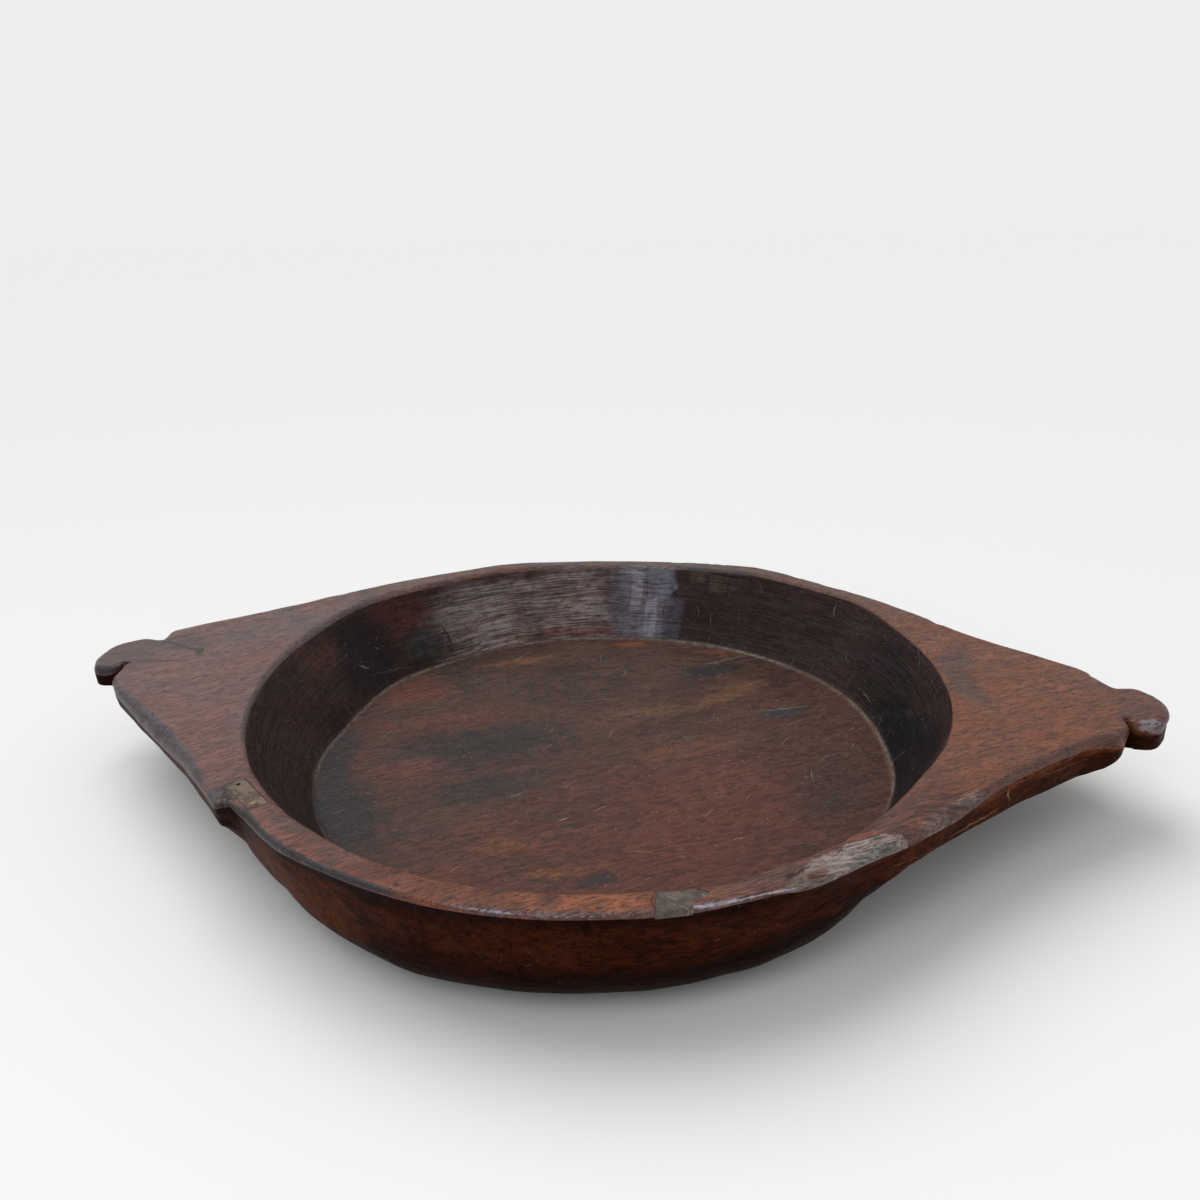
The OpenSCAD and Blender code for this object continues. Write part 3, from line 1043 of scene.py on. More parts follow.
LEFT_TONE = (100, 60, 52)
RIGHT_TONE = (109, 54, 27)
FRONT_TONE = (94, 42, 19)
# Worn arris of the left handle, with a painted bluish reflection of the sky on it
WORN_ARRIS_BLUE_SHEEN = (52, 40, 46)
TOP_FINISH = WoodFinish(
    name="worn_top",
    base=(88, 50, 38),
    stains_and_light=(
        StainAndLight((-300, 0), (160, 200), 0, LEFT_TONE, 0.95, 0.6),
        StainAndLight((300, 0), (150, 190), 0, RIGHT_TONE, 0.95, 0.6),
        StainAndLight((-50, -232), (170, 34), 0, FRONT_TONE, 0.95, 0.6),
        StainAndLight((0, 236), (150, 34), 0, (74, 54, 47), 0.7),
        StainAndLight((-230, -90), (60, 22), -42, (104, 58, 48), 0.7),
        StainAndLight((-250, 60), (60, 26), 30, (82, 60, 55), 0.7, 1.2),
        StainAndLight((-274, -22), (26, 10), 20, (100, 68, 60), 0.6, 1.3),
        StainAndLight((-270, 104), (70, 12), -40, (70, 52, 48), 0.6, 1.2),
        StainAndLight((-202, 116), (34, 16), -44, (66, 44, 42), 0.55, 1.0),
        StainAndLight((-206, -40), (12, 60), -8, (78, 58, 56), 0.6, 0.8),
        StainAndLight((334, -4), (26, 40), 0, (82, 44, 31), 0.7),
        StainAndLight((308, 26), (22, 16), -30, (84, 50, 40), 0.5),
        StainAndLight((-336, 8), (24, 30), 0, (66, 42, 38), 0.7),
        StainAndLight((-310, 26), (30, 12), 15, (52, 34, 30), 0.7, 1.4),
        # Painted shade: a hole in the left handle that is not cut, drawn as a dark spot
        StainAndLight((-285, 16.5), (3.4, 5.0), 0, (5, 3, 3), 1.0, 0.1, 0.15),
        StainAndLight((27, -223), (34, 14), 2, (126, 64, 31), 0.9, 0.5, 0.4, 0.6),
        StainAndLight((13, -225), (8, 9), 0, (70, 32, 18), 0.8),
        StainAndLight((-60, -228), (56, 7), -14, (112, 56, 30), 0.7, 1.2),
        StainAndLight((-128, -196), (40, 8), -36, (116, 60, 42), 0.7, 1.2),
        StainAndLight((96, -214), (14, 9), 20, (108, 62, 44), 0.8, 1.3, 0.3),
        # Painted reflection: the grey patches on the hewn face stand for the sky that it mirrors, and the
        # small pale spot at (212, -117) is a painted highlight
        StainAndLight((153, -178), (36, 14), 41, (132, 112, 105), 0.95, 0.9, 0.1, 0.4),
        StainAndLight((165, -172), (20, 8), 41, (96, 90, 85), 0.9, 1.2, 0.3),
        StainAndLight((131, -197), (15, 9), 40, (98, 80, 70), 0.85, 1.0, 0.2),
        StainAndLight((133.5, -190), (8, 3.5), 40, (92, 48, 36), 0.75, 0.9, 0.2),
        StainAndLight((158, -157), (13, 3), 30, (112, 56, 40), 0.8, 1.0, 0.2),
        StainAndLight((208, -131), (30, 11), 47, (118, 90, 84), 0.9, 1.3, 0.2, 0.4),
        StainAndLight((212, -117), (9, 2.6), 34, (136, 110, 97), 0.75, 1.6, 0.4),
        StainAndLight((198, -126), (16, 5), 50, (88, 48, 38), 0.6, 1.2),
        StainAndLight((230, 14), (10, 34), 10, (58, 44, 36), 0.7, 2.0, 0.9),
        StainAndLight((232, 52), (12, 26), -14, (60, 43, 34), 0.6, 2.0, 0.9),
        StainAndLight((222, 74), (20, 7), 62, (118, 62, 36), 0.75),
        StainAndLight((290, 20), (40, 14), 28, (112, 60, 36), 0.6, 1.4),
        StainAndLight((-178, -154), (13, 9), 42, (50, 38, 37), 0.85, 1.3, 0.3),
        # The left handle's worn near arris, painted with a bluish reflection
        StainAndLight((-262, -92), (96, 26), -40.5, WORN_ARRIS_BLUE_SHEEN, 0.9, 0.8, 0.3, edge=Edge.ARRIS),
        StainAndLight((-176, -166), (16, 18), 0, (44, 32, 36), 0.9, 0.8, 0.3, edge=Edge.ARRIS),
        StainAndLight((-341, -16), (16, 12), 0, (38, 28, 34), 0.9, 0.8, 0.3, edge=Edge.ARRIS),
        # Painted highlight: a small pale gloss spot on the left lobe's dark arris
        StainAndLight((-343, -18), (4, 3), 0, (126, 114, 122), 0.7, 1.6, 0.3, edge=Edge.ARRIS),
        StainAndLight((-104, -208), (84, 22), -29, (28, 20, 26), 0.95, 0.5, 0.3, edge=Edge.ARRIS),
        StainAndLight((35, -236), (75, 16), 0, (84, 62, 62), 0.7, 1.2, 0.4, edge=Edge.ARRIS),
        # Painted highlights: a dim pale sheen on the front arris, and a thin bright line of light along its
        # middle
        StainAndLight((84, -226), (46, 12), 22, (96, 80, 82), 0.5, 0.7, 0.3, edge=Edge.ARRIS),
        StainAndLight((20, -238), (72, 14), 0, (168, 156, 164), 0.8, 0.9, 0.3, edge=Edge.ARRIS_LINE),
        StainAndLight((95, -221), (42, 16), 24, (186, 174, 182), 0.9, 0.7, 0.3, edge=Edge.ARRIS_LINE),
        StainAndLight((250, -92), (90, 22), 42, (74, 40, 34), 0.75, 1.2, 0.3, edge=Edge.ARRIS),
        # Painted highlight on the right lobe's arris
        StainAndLight((330, -26), (11, 8), 0, (118, 107, 108), 0.8, 1.0, 0.3, edge=Edge.ARRIS),
        StainAndLight((336, -16), (9, 12), 0, (90, 30, 22), 0.8, 0.8, 0.2, edge=Edge.ARRIS),
        StainAndLight((-215, 20), (40, 190), 0, (58, 40, 40), 0.7, 0.7, edge=Edge.MOUTH),
        # Painted shade: the dark recess under the back lip of the hollow
        StainAndLight((62, 210), (36, 14), -18, (32, 27, 32), 0.85, 0.8, 0.4, edge=Edge.MOUTH),
        # Painted highlight: a pale line of light on the back lip
        StainAndLight((10, 222), (30, 12), 0, (112, 104, 104), 0.6, 1.4, 0.4, edge=Edge.MOUTH),
    ),
    cracks=(
        Crack((-327, -14), (-330, -3), 1.6, (34, 22, 20)),
        Crack((-331, -4), (-290, -1), 2.0, (44, 30, 28)),
        Crack((-323, 31), (-284, 16), 1.8, (30, 20, 18)),
        Crack((-318, 33), (-303, 45), 2.2, (20, 13, 12)),
        Crack((-350, 2), (-330, 14), 1.4, (40, 28, 26)),
        Crack((-292, 42), (-262, 52), 1.2, (40, 27, 25)),
        Crack((-276, 70), (-240, 82), 1.0, (42, 29, 26)),
        Crack((-182, -150), (-170, -168), 1.1, (10, 8, 8)),
        Crack((-184, -161), (-170, -162), 0.8, (12, 9, 9)),
        Crack((-178, -158), (-172, -172), 0.7, (14, 10, 10)),
        Crack((-188, -156), (-178, -168), 0.6, (18, 12, 12)),
        Crack((214, 90), (236, 103), 0.6, (30, 20, 16)),
        Crack((152, 162), (172, 170), 0.6, (30, 20, 16)),
        Crack((198, 52), (243, 94), 0.5, (38, 24, 18)),
        Crack((233, -92), (235, -104), 0.8, (150, 124, 106)),
        Crack((140, -178), (147, -168), 0.7, (34, 22, 20)),
        Crack((118, -198), (132, -183), 0.9, (34, 22, 20)),
        Crack((160, -170), (182, -158), 0.8, (40, 28, 26)),
        Crack((-12, 214), (-6, 236), 0.6, (24, 17, 15)),
        Crack((60, -209), (60.5, -238), 0.6, (30, 18, 14)),
    ),
    figure=1.2,
    fibre=4.4,
    cloud=1.7,
    mottle=3.2,
    hue=0.2,
    roughness=0.40,
    specular=0.33,
    pores=1.0,
    nick_colour=(140, 118, 106),
    nick_cell=18.0,
    nick_share=0.35,
    nick_turn=36.0,
    relief=1.0,
)
FLOOR_FINISH = WoodFinish(
    name="scratched_floor",
    base=(69, 39, 29),
    stains_and_light=(
        StainAndLight((70, -70), (110, 70), 15, (84, 41, 29), 0.8, 1.6, 0.9),
        StainAndLight((0, -130), (110, 40), 4, (86, 41, 28), 0.6, 1.6, 0.9),
        StainAndLight((-40, 120), (140, 60), 15, (62, 41, 31), 0.7, 1.6, 0.9),
        StainAndLight((-76, 2), (62, 24), 26, (31, 27, 27), 0.8, 2.2, 0.8),
        StainAndLight((-64, -52), (40, 17), 20, (36, 28, 28), 0.7, 2.4, 0.9),
        StainAndLight((-148, -88), (26, 42), 32, (24, 24, 29), 0.85, 1.8, 0.8),
        StainAndLight((-172, -30), (12, 44), 8, (28, 26, 30), 0.75, 1.8, 0.8),
        StainAndLight((-148, 72), (24, 20), 40, (96, 47, 30), 0.7, 2.4, 0.8),
        StainAndLight((-120, 28), (44, 12), 20, (86, 44, 32), 0.6, 2.6, 0.9),
        StainAndLight((-122, -34), (24, 14), 25, (96, 50, 38), 0.7, 2.2, 0.8),
        StainAndLight((-60, -96), (22, 10), 30, (84, 48, 32), 0.6, 2.6, 0.9),
        StainAndLight((-34, -112), (24, 9), 12, (108, 62, 35), 0.7, 2.6, 0.8),
        StainAndLight((-2, -132), (20, 7), 16, (116, 66, 34), 0.7, 2.4, 0.8),
        StainAndLight((-104, -118), (14, 8), 30, (90, 50, 33), 0.6, 2.4, 0.9),
        StainAndLight((22, -136), (14, 7), 22, (26, 25, 28), 0.8, 1.8, 0.6),
        StainAndLight((34, 60), (46, 9), 22, (94, 62, 40), 0.55, 2.6, 0.9),
        StainAndLight((82, 94), (34, 10), 38, (100, 65, 40), 0.6, 2.6, 0.9),
        StainAndLight((66, 130), (26, 11), 20, (28, 25, 25), 0.85, 2.0, 0.7),
        StainAndLight((120, 66), (18, 7), 22, (44, 45, 45), 0.7, 2.0, 0.7),
        StainAndLight((-2, 172), (16, 5), 8, (122, 60, 28), 0.75, 1.6),
        StainAndLight((68, 162), (16, 6), -15, (98, 46, 31), 0.65, 1.6),
        StainAndLight((-86, 132), (30, 6), 24, (104, 64, 36), 0.6, 2.4, 0.9),
        StainAndLight((60, 10), (46, 10), 28, (96, 56, 39), 0.5, 2.6, 1.0),
        StainAndLight((80, -24), (36, 18), 30, (86, 46, 34), 0.5, 2.4, 1.0),
        StainAndLight((150, -30), (22, 40), -8, (44, 28, 24), 0.6, 1.6, 0.9),
    ),
    cracks=(
        Crack((50, 132), (103, 165), 0.8, (110, 104, 94)),
        Crack((62, 124), (98, 146), 0.6, (88, 84, 77)),
        Crack((56, 130), (92, 156), 0.9, (18, 15, 15)),
        Crack((104, 66), (138, 79), 0.8, (104, 112, 114)),
        Crack((168, -8), (178, -24), 0.6, (24, 17, 15)),
        Crack((-140, 44), (-112, 56), 0.5, (120, 104, 94)),
        Crack((-150, 92), (-128, 104), 0.5, (120, 104, 94)),
        Crack((-30, 74), (-4, 84), 0.5, (116, 100, 90)),
        Crack((-36, 66), (-8, 74), 0.5, (112, 97, 87)),
        Crack((-50, -62), (-36, -50), 0.6, (150, 134, 124)),
        Crack((6, -72), (16, -62), 0.6, (150, 134, 124)),
        Crack((-14, -84), (-6, -78), 0.6, (150, 134, 124)),
        Crack((48, -40), (54, -34), 0.6, (150, 134, 124)),
        Crack((88, -92), (100, -86), 0.6, (150, 134, 124)),
    ),
    swing=14.0,
    figure=1.3,
    fibre=3.8,
    cloud=2.0,
    mottle=3.0,
    hue=0.3,
    roughness=0.44,
    specular=0.22,
    pores=0.5,
    nick_colour=(134, 116, 106),
    nick_cell=12.0,
    nick_length=3.4,
    nick_share=0.5,
    nick_turn=42.0,
    relief=0.7,
    dust=0.8,
)
HOLLOW_FINISH = WoodFinish(
    name="dark_hollow",
    base=(45, 28, 26),
    stains_and_light=(
        # A pale, worn patch on the back wall, whose grey streaks are a painted reflection of the light
        StainAndLight((116, 40), (23, 38), 0, (134, 115, 111), 0.85, 1.2, 0.8, 0.4, streaks=0.4),
        StainAndLight((117, 72), (22, 8), 0, (54, 32, 29), 0.75, 1.6, 0.6),
        StainAndLight((106, 24), (14, 4), 0, (86, 40, 26), 0.6, 1.2),
        StainAndLight((144, 60), (7, 18), 0, (66, 33, 28), 0.75, 2.0, 0.8),
        StainAndLight((142, 34), (5, 12), 0, (46, 44, 42), 0.85),
        StainAndLight((158, 44), (9, 26), 0, (22, 14, 18), 0.8),
        StainAndLight((169, 58), (7, 15), 0, (68, 42, 37), 0.85, 2.0, 0.8),
        StainAndLight((182, 40), (12, 22), 0, (54, 34, 30), 0.7, 2.4, 0.9),
        StainAndLight((198, 34), (12, 22), 0, (50, 36, 35), 0.6, 2.4, 0.9),
        StainAndLight((176, 24), (8, 6), 0, (28, 18, 18), 0.6, 2.0, 0.8),
        StainAndLight((50, 56), (7, 12), 0, (56, 38, 36), 0.6, 2.4, 0.9),
        StainAndLight((34, 60), (6, 10), 0, (52, 34, 33), 0.6, 2.4, 0.9),
        # Painted reflection: the grey-violet patches of the back wall's adze facets stand for a window that
        # they mirror
        StainAndLight((88.5, 46), (6.5, 38), 0, (103, 96, 103), 0.75, 0.6, 0.3, 1.0),
        StainAndLight((94.5, 44), (1.8, 36), 0, (86, 80, 85), 0.6, 0.8, 0.3, 1.0),
        StainAndLight((90.2, 52), (1.4, 14), 4, (122, 116, 122), 0.7, 1.0, 0.3, 1.0),
        StainAndLight((86.4, 34), (1.6, 14), 0, (126, 119, 126), 0.7, 1.0, 0.3, 1.0),
        StainAndLight((91.6, 66), (2.2, 5), 20, (124, 119, 125), 0.6, 1.0, 0.3, 1.0),
        StainAndLight((83.6, 56), (2.8, 9), -30, (98, 93, 103), 0.65, 1.0, 0.25, 0.8),
        StainAndLight((81, 34), (2.4, 16), 0, (70, 64, 72), 0.65, 0.9, 0.4, 1.0),
        StainAndLight((76.5, 64), (1.8, 5), 0, (72, 58, 47), 0.7, 1.2, 0.4, 1.0),
        StainAndLight((71.5, 60), (2.4, 7), 0, (76, 62, 48), 0.7, 1.2, 0.4, 1.0),
        StainAndLight((68, 62), (1.4, 6), 0, (66, 52, 42), 0.7, 1.2, 0.4, 1.0),
        StainAndLight((60, 40), (18, 30), 0, (44, 29, 27), 0.7),
        StainAndLight((22, 50), (16, 24), 0, (34, 24, 25), 0.7),
        StainAndLight((12, 34), (9, 4), -30, (52, 50, 52), 0.5, 1.2),
        StainAndLight((1, 30), (22, 18), 0, (5, 5, 6), 0.97),
        StainAndLight((-6, 42), (14, 20), 0, (17, 13, 15), 0.8, 1.4, 0.8),
        StainAndLight((226, 40), (14, 30), 0, (32, 21, 19), 0.6),
        StainAndLight((90, 79), (150, 3.5), 0, (66, 56, 54), 0.5, 1.2, 0.4),
    ),
    cracks=(
        Crack((91.8, 70), (89.8, 22), 0.6, (20, 17, 20)),
        Crack((88.0, 66), (87.0, 22), 0.7, (20, 17, 20)),
        Crack((93.4, 68), (92.8, 26), 0.5, (26, 22, 26)),
        Crack((84.0, 68), (83, 24), 0.6, (26, 22, 26)),
        Crack((84.5, 66), (80.0, 46), 0.5, (30, 26, 30)),
        Crack((137, 44), (136, 28), 0.9, (16, 14, 14)),
        Crack((161, 42), (158, 34), 0.7, (126, 118, 110)),
        Crack((166, 62), (164, 52), 0.6, (116, 108, 100)),
        Crack((154, 46), (153, 41), 0.6, (120, 112, 106)),
        Crack((44, 68), (43.5, 58), 0.6, (110, 104, 98)),
        Crack((37, 43), (34, 36), 0.5, (100, 96, 92)),
        Crack((53, 42), (52, 34), 0.5, (100, 96, 92)),
        Crack((75.5, 46), (74.5, 34), 0.5, (120, 108, 100)),
        Crack((72.5, 44), (71.0, 30), 0.5, (116, 104, 96)),
        Crack((26, 28), (20, 27), 0.6, (110, 104, 98)),
        Crack((66, 46), (64, 36), 0.6, (88, 78, 70)),
        Crack((163, 34), (148, 24), 0.5, (96, 86, 80)),
        Crack((190, 58), (186, 34), 0.5, (84, 72, 66)),
        Crack((200, 50), (194, 26), 0.5, (80, 70, 64)),
        Crack((178, 62), (176, 44), 0.5, (82, 70, 64)),
    ),
    chart=Chart.HOLLOW,
    swing=6.0,
    fibre_length=2.4,
    figure=1.0,
    fibre=3.2,
    cloud=2.4,
    mottle=2.6,
    hue=0.3,
    roughness=0.40,
    polish=0.0,
    specular=0.10,
    pores=0.5,
    nick_colour=(102, 88, 82),
    nick_cell=11.0,
    nick_length=3.6,
    nick_share=0.38,
    nick_turn=66.0,
    relief=0.7,
    dust=0.6,
)
OUTSIDE_FINISH = WoodFinish(
    name="dark_outside",
    base=(36, 12, 5),
    stains_and_light=(
        StainAndLight((-80, 50), (34, 14), 0, (62, 25, 9), 0.7, 1.2),
        StainAndLight((-52, 58), (10, 14), 0, (58, 24, 10), 0.6, 1.2),
        StainAndLight((-128, 46), (20, 26), 0, (82, 40, 20), 0.8, 1.2),
        StainAndLight((-154, 62), (16, 14), 0, (80, 46, 36), 0.75, 1.2),
        StainAndLight((-135, 62), (5, 14), 0, (36, 24, 22), 0.85, 1.2),
        StainAndLight((-116, 68), (26, 3.2), 0, (26, 14, 16), 0.85, 0.9),
        StainAndLight((-22, 58), (26, 18), 0, (72, 32, 13), 0.85, 1.2),
        StainAndLight((-20, 67), (26, 3), 0, (104, 56, 32), 0.7, 1.2),
        StainAndLight((-60, 20), (50, 14), 0, (22, 8, 4), 0.6),
        StainAndLight((-6, 56), (5, 9), 0, (24, 10, 7), 0.8),
        StainAndLight((2, 62), (8, 14), 0, (40, 18, 11), 0.7),
        StainAndLight((180, 60), (7, 14), 0, (30, 20, 24), 0.85),
    ),
    cracks=(
        Crack((-21.9, 73), (-21.5, 55), 0.9, (140, 108, 82)),
        Crack((-34, 56.5), (-22, 55.5), 0.8, (148, 110, 82)),
        Crack((-136, 72), (-135, 58), 1.1, (12, 8, 8)),
        Crack((-134, 70), (-133, 54), 0.9, (120, 88, 64)),
        Crack((-20, 64), (-8, 60), 0.6, (126, 92, 66)),
        Crack((-18, 61), (-10, 57), 0.6, (24, 10, 6)),
        Crack((-30, 60), (-18, 57), 0.6, (20, 8, 5)),
        Crack((-52, 62), (-30, 52), 0.5, (150, 118, 92)),
    ),
    chart=Chart.OUTSIDE,
    swing=12.0,
    figure=2.2,
    fibre=3.0,
    cloud=2.2,
    mottle=3.0,
    hue=0.7,
    roughness=0.34,
    polish=0.0,
    specular=0.012,
    pores=0.7,
    nick_colour=(108, 74, 50),
    nick_cell=18.0,
    nick_length=3.4,
    nick_share=0.4,
    nick_turn=0.0,
    relief=1.0,
)
WOOD_FINISHES = {
    "top": TOP_FINISH,
    "floor": FLOOR_FINISH,
    "hollow": HOLLOW_FINISH,
    "outside": OUTSIDE_FINISH,
}


@dataclass(frozen=True)
class BrassFinish:
    """Old brass: dull, browned in patches and scratched bright."""

    name: str
    bright: Triple
    dull: Triple
    roughness: float
    metallic: float = 0.85

    def build(self) -> bpy.types.Material:
        """Makes the material."""
        material, graph, shader, place = start_material(self.name)
        cloud = graph.clouds(place, (7.0, 7.0, 7.0), 5.0, 0.65)
        speck = graph.clouds(place, (1.6, 1.6, 1.6), 3.0, 0.6)
        dull = graph.ease(graph.math("MULTIPLY_ADD", speck, 0.4, cloud), 0.55, 0.85)
        colour = graph.mix(dull, tone(*self.bright), tone(*self.dull))
        scratches = graph.use(NICKS, Place=place, Cell=5.0, Length=2.4, Width=0.16, Chance=0.7, Spread=3.0)
        nicks = scratches["Mask"]
        colour = graph.mix(graph.math("MULTIPLY", nicks, 0.6), colour, tone(*self.bright))
        graph.feed(shader.inputs["Base Color"], colour)
        rough = graph.ease(dull, 0.0, 1.0, self.roughness, self.roughness + 0.2)
        graph.feed(shader.inputs["Roughness"], rough)
        shader.inputs["Metallic"].default_value = self.metallic
        height = graph.math("SUBTRACT", speck, nicks)
        graph.feed(shader.inputs["Normal"], graph.bump(height, 0.3, 0.0003))
        return material


@dataclass(frozen=True)
class FillerFinish:
    """Dull grey filler with brown grime, pits and scuffs."""

    name: str
    grey: Triple
    grime: Triple
    scuff: Triple = (150, 140, 128)
    pit: Triple = (34, 24, 20)

    def build(self) -> bpy.types.Material:
        """Makes the material."""
        material, graph, shader, place = start_material(self.name)
        cloud = graph.clouds(place, (6.0, 6.0, 6.0), 5.0, 0.7)
        pits = graph.ease(graph.clouds(place, (1.3, 1.3, 1.3), 2.0), 0.60, 0.70)
        colour = graph.mix(graph.ease(cloud, 0.40, 0.62), tone(*self.grime), tone(*self.grey))
        scuffs = graph.use(NICKS, Place=place, Cell=7.0, Length=3.0, Width=0.3, Chance=0.6, Spread=2.5)
        nicks = scuffs["Mask"]
        colour = graph.mix(graph.math("MULTIPLY", nicks, 0.6), colour, tone(*self.scuff))
        colour = graph.mix(graph.math("MULTIPLY", pits, 0.7), colour, tone(*self.pit))
        graph.feed(shader.inputs["Base Color"], colour)
        graph.feed(shader.inputs["Roughness"], graph.ease(cloud, 0.3, 0.7, 0.62, 0.5))
        low = graph.math("MULTIPLY", graph.math("MAXIMUM", pits, nicks), 0.5)
        height = graph.math("SUBTRACT", cloud, low)
        graph.feed(shader.inputs["Normal"], graph.bump(height, 0.5, 0.0006))
        return material


# The carved bowl


class Zone(Enum):
    """Stretches of the bowl's section, in order from the floor over the rim to the underside."""

    SEAM = "seam"
    WALL = "wall"
    MOUTH = "mouth"
    TOP = "top"
    ARRIS = "arris"
    SIDE = "side"
    LOW_ARRIS = "low arris"
    UNDER = "under"
    OUTSIDE = "outside"
    FOOT = "foot"
    BASE = "base"


RINGS = {
    Zone.SEAM: 4,
    Zone.WALL: 25,
    Zone.MOUTH: 6,
    Zone.TOP: 27,
    Zone.ARRIS: 6,
    Zone.SIDE: 6,
    Zone.LOW_ARRIS: 5,
    Zone.UNDER: 12,
    Zone.OUTSIDE: 8,
    Zone.FOOT: 10,
    Zone.BASE: 2,
}

# Finish of each zone down to the arris. All the others have the outside's
FINISH_OF_ZONE = {
    Zone.SEAM: "floor",
    Zone.WALL: "hollow",
    Zone.MOUTH: "top",
    Zone.TOP: "top",
    Zone.ARRIS: "top",
}

# Corners of the handles' outlines in millimetres, each list in the direction of a left turn
LEFT_HANDLE = (
    Corner(-150, 185, 60),
    Corner(-188, 161.5, 80),
    Corner(-255, 105, 80),
    Corner(-327, 49.5, 10),
    Corner(-322.5, 31, 1.5),
    Corner(-337, 38, 11),
    Corner(-355.2, 23, 30),
    Corner(-354.8, -2, 30),
    Corner(-347, -18.5, 12),
    Corner(-333, -16, 6),
    Corner(-325, -4, 1.5),
    Corner(-328.5, -11, 4),
    Corner(-325.5, -31, 22),
    Corner(-311, -48, 20),
    Corner(-223, -123.5, 60),
    Corner(-179.5, -168.5, 2.5),
    Corner(-171.5, -166.5, 3),
)
RIGHT_HANDLE = (
    Corner(145, -188, 30),
    Corner(173, -162.5, 30),
    Corner(206, -128, 80),
    Corner(247, -86.5, 120),
    Corner(289, -51, 60),
    Corner(308.5, -46, 10),
    Corner(316, -29, 5),
    Corner(313, -20.5, 1.5),
    Corner(318.5, -28, 4),
    Corner(332.5, -29.5, 14),
    Corner(344.2, -12, 30),
    Corner(344.2, 5, 30),
    Corner(332, 21, 14),
    Corner(319, 16, 1.5),
    Corner(309.5, 43, 26),
    Corner(244, 94, 80),
    Corner(194, 148, 80),
    Corner(160, 176, 80),
)
# Rounding of the upper arris: a table by bearing, in metres, and spots that differ from it
ARRIS_BY_BEARING = (
    (-170, 0.0050),
    (-130, 0.0052),
    (-115, 0.0040),
    (-60, 0.0036),
    (-30, 0.0050),
    (60, 0.0045),
    (120, 0.0040),
    (170, 0.0045),
)
ARRIS_SPOTS = (
    Spot(-262, -89, 60, 4.2),
    Spot(-322.5, 31, 8, -2.9),
    Spot(-325, -4, 8, -3.1),
    Spot(-172, -166, 9, -3.0),
    Spot(312.5, -20.5, 7, -3.2),
    Spot(319, 16, 8, -2.9),
    Spot(155, -182, 28, -1.4),
    Spot(334, -26, 9, 3.2),
    Spot(308, -45, 15, 2.6),
    Spot(-340, -17, 9, 1.6),
)
# Rounding of the hollow's upper edge by bearing, in metres
MOUTH_ROUND = (
    (-170, 0.0030),
    (-140, 0.0022),
    (0, 0.0022),
    (60, 0.0030),
    (110, 0.0032),
    (140, 0.0048),
    (165, 0.0048),
)
# Lean of the outer wall by bearing, as a share of its height, and the foot's rounding in metres
WALL_LEAN = (
    (-180, 0.12),
    (-155, 0.05),
    (-130, 0.245),
    (-105, 0.13),
    (-80, 0.18),
    (-60, 0.22),
    (-40, 0.44),
    (-20, 0.62),
    (20, 0.58),
    (55, 0.28),
    (90, 0.18),
    (140, 0.18),
)
FOOT_ROUND = ((-60, 0.0325), (-30, 0.046), (20, 0.044), (60, 0.034), (180, 0.0325))
# Thickness of the handles along X, both in millimetres
HANDLE_THICKNESS = (
    (-352, 15.5),
    (-330, 16),
    (-320, 14.5),
    (-236, 15.5),
    (-170, 15),
    (-120, 18),
    (120, 20),
    (215, 21.5),
    (255, 24),
    (290, 24.5),
    (300, 22),
    (309, 16.5),
    (314, 16.5),
    (319, 19.5),
    (341, 19),
)


@dataclass
class Skin:
    """Rings of the bowl's surface in order, each with the zone that it belongs to."""

    rings: list[np.ndarray] = field(default_factory=list)
    zones: list[Zone] = field(default_factory=list)

    def add(self, zone: Zone, plan: np.ndarray, height: np.ndarray) -> None:
        """Adds one ring from its plan and its heights."""
        self.rings.append(raised(plan, height))
        self.zones.append(zone)

    def bend(self, zone: Zone, start: np.ndarray, corner: np.ndarray, end: np.ndarray) -> None:
        """Adds a zone's rings along the curve that rounds a corner.

        Args:
            zone: The zone to add.
            start: Places where the curve starts, as rows of x, y and z.
            corner: Places of the sharp corner.
            end: Places where the curve ends.
        """
        for step in range(1, RINGS[zone] + 1):
            t = step / (RINGS[zone] + 1)
            ring = (1 - t) ** 2 * start + 2 * t * (1 - t) * corner + t**2 * end
            self.add(zone, ring[:, :2], ring[:, 2])

    def run(self, zone: Zone, start: np.ndarray, end: np.ndarray) -> None:
        """Adds a zone's rings along straight lines, with both ends."""
        for step in range(RINGS[zone]):
            ring = start + (end - start) * step / (RINGS[zone] - 1)
            self.add(zone, ring[:, :2], ring[:, 2])


def raised(plan: np.ndarray, height: np.ndarray | float) -> np.ndarray:
    """Rows of x, y and z from a plan and its height."""
    return np.column_stack([plan, height + 0.0 * plan[:, 0]])


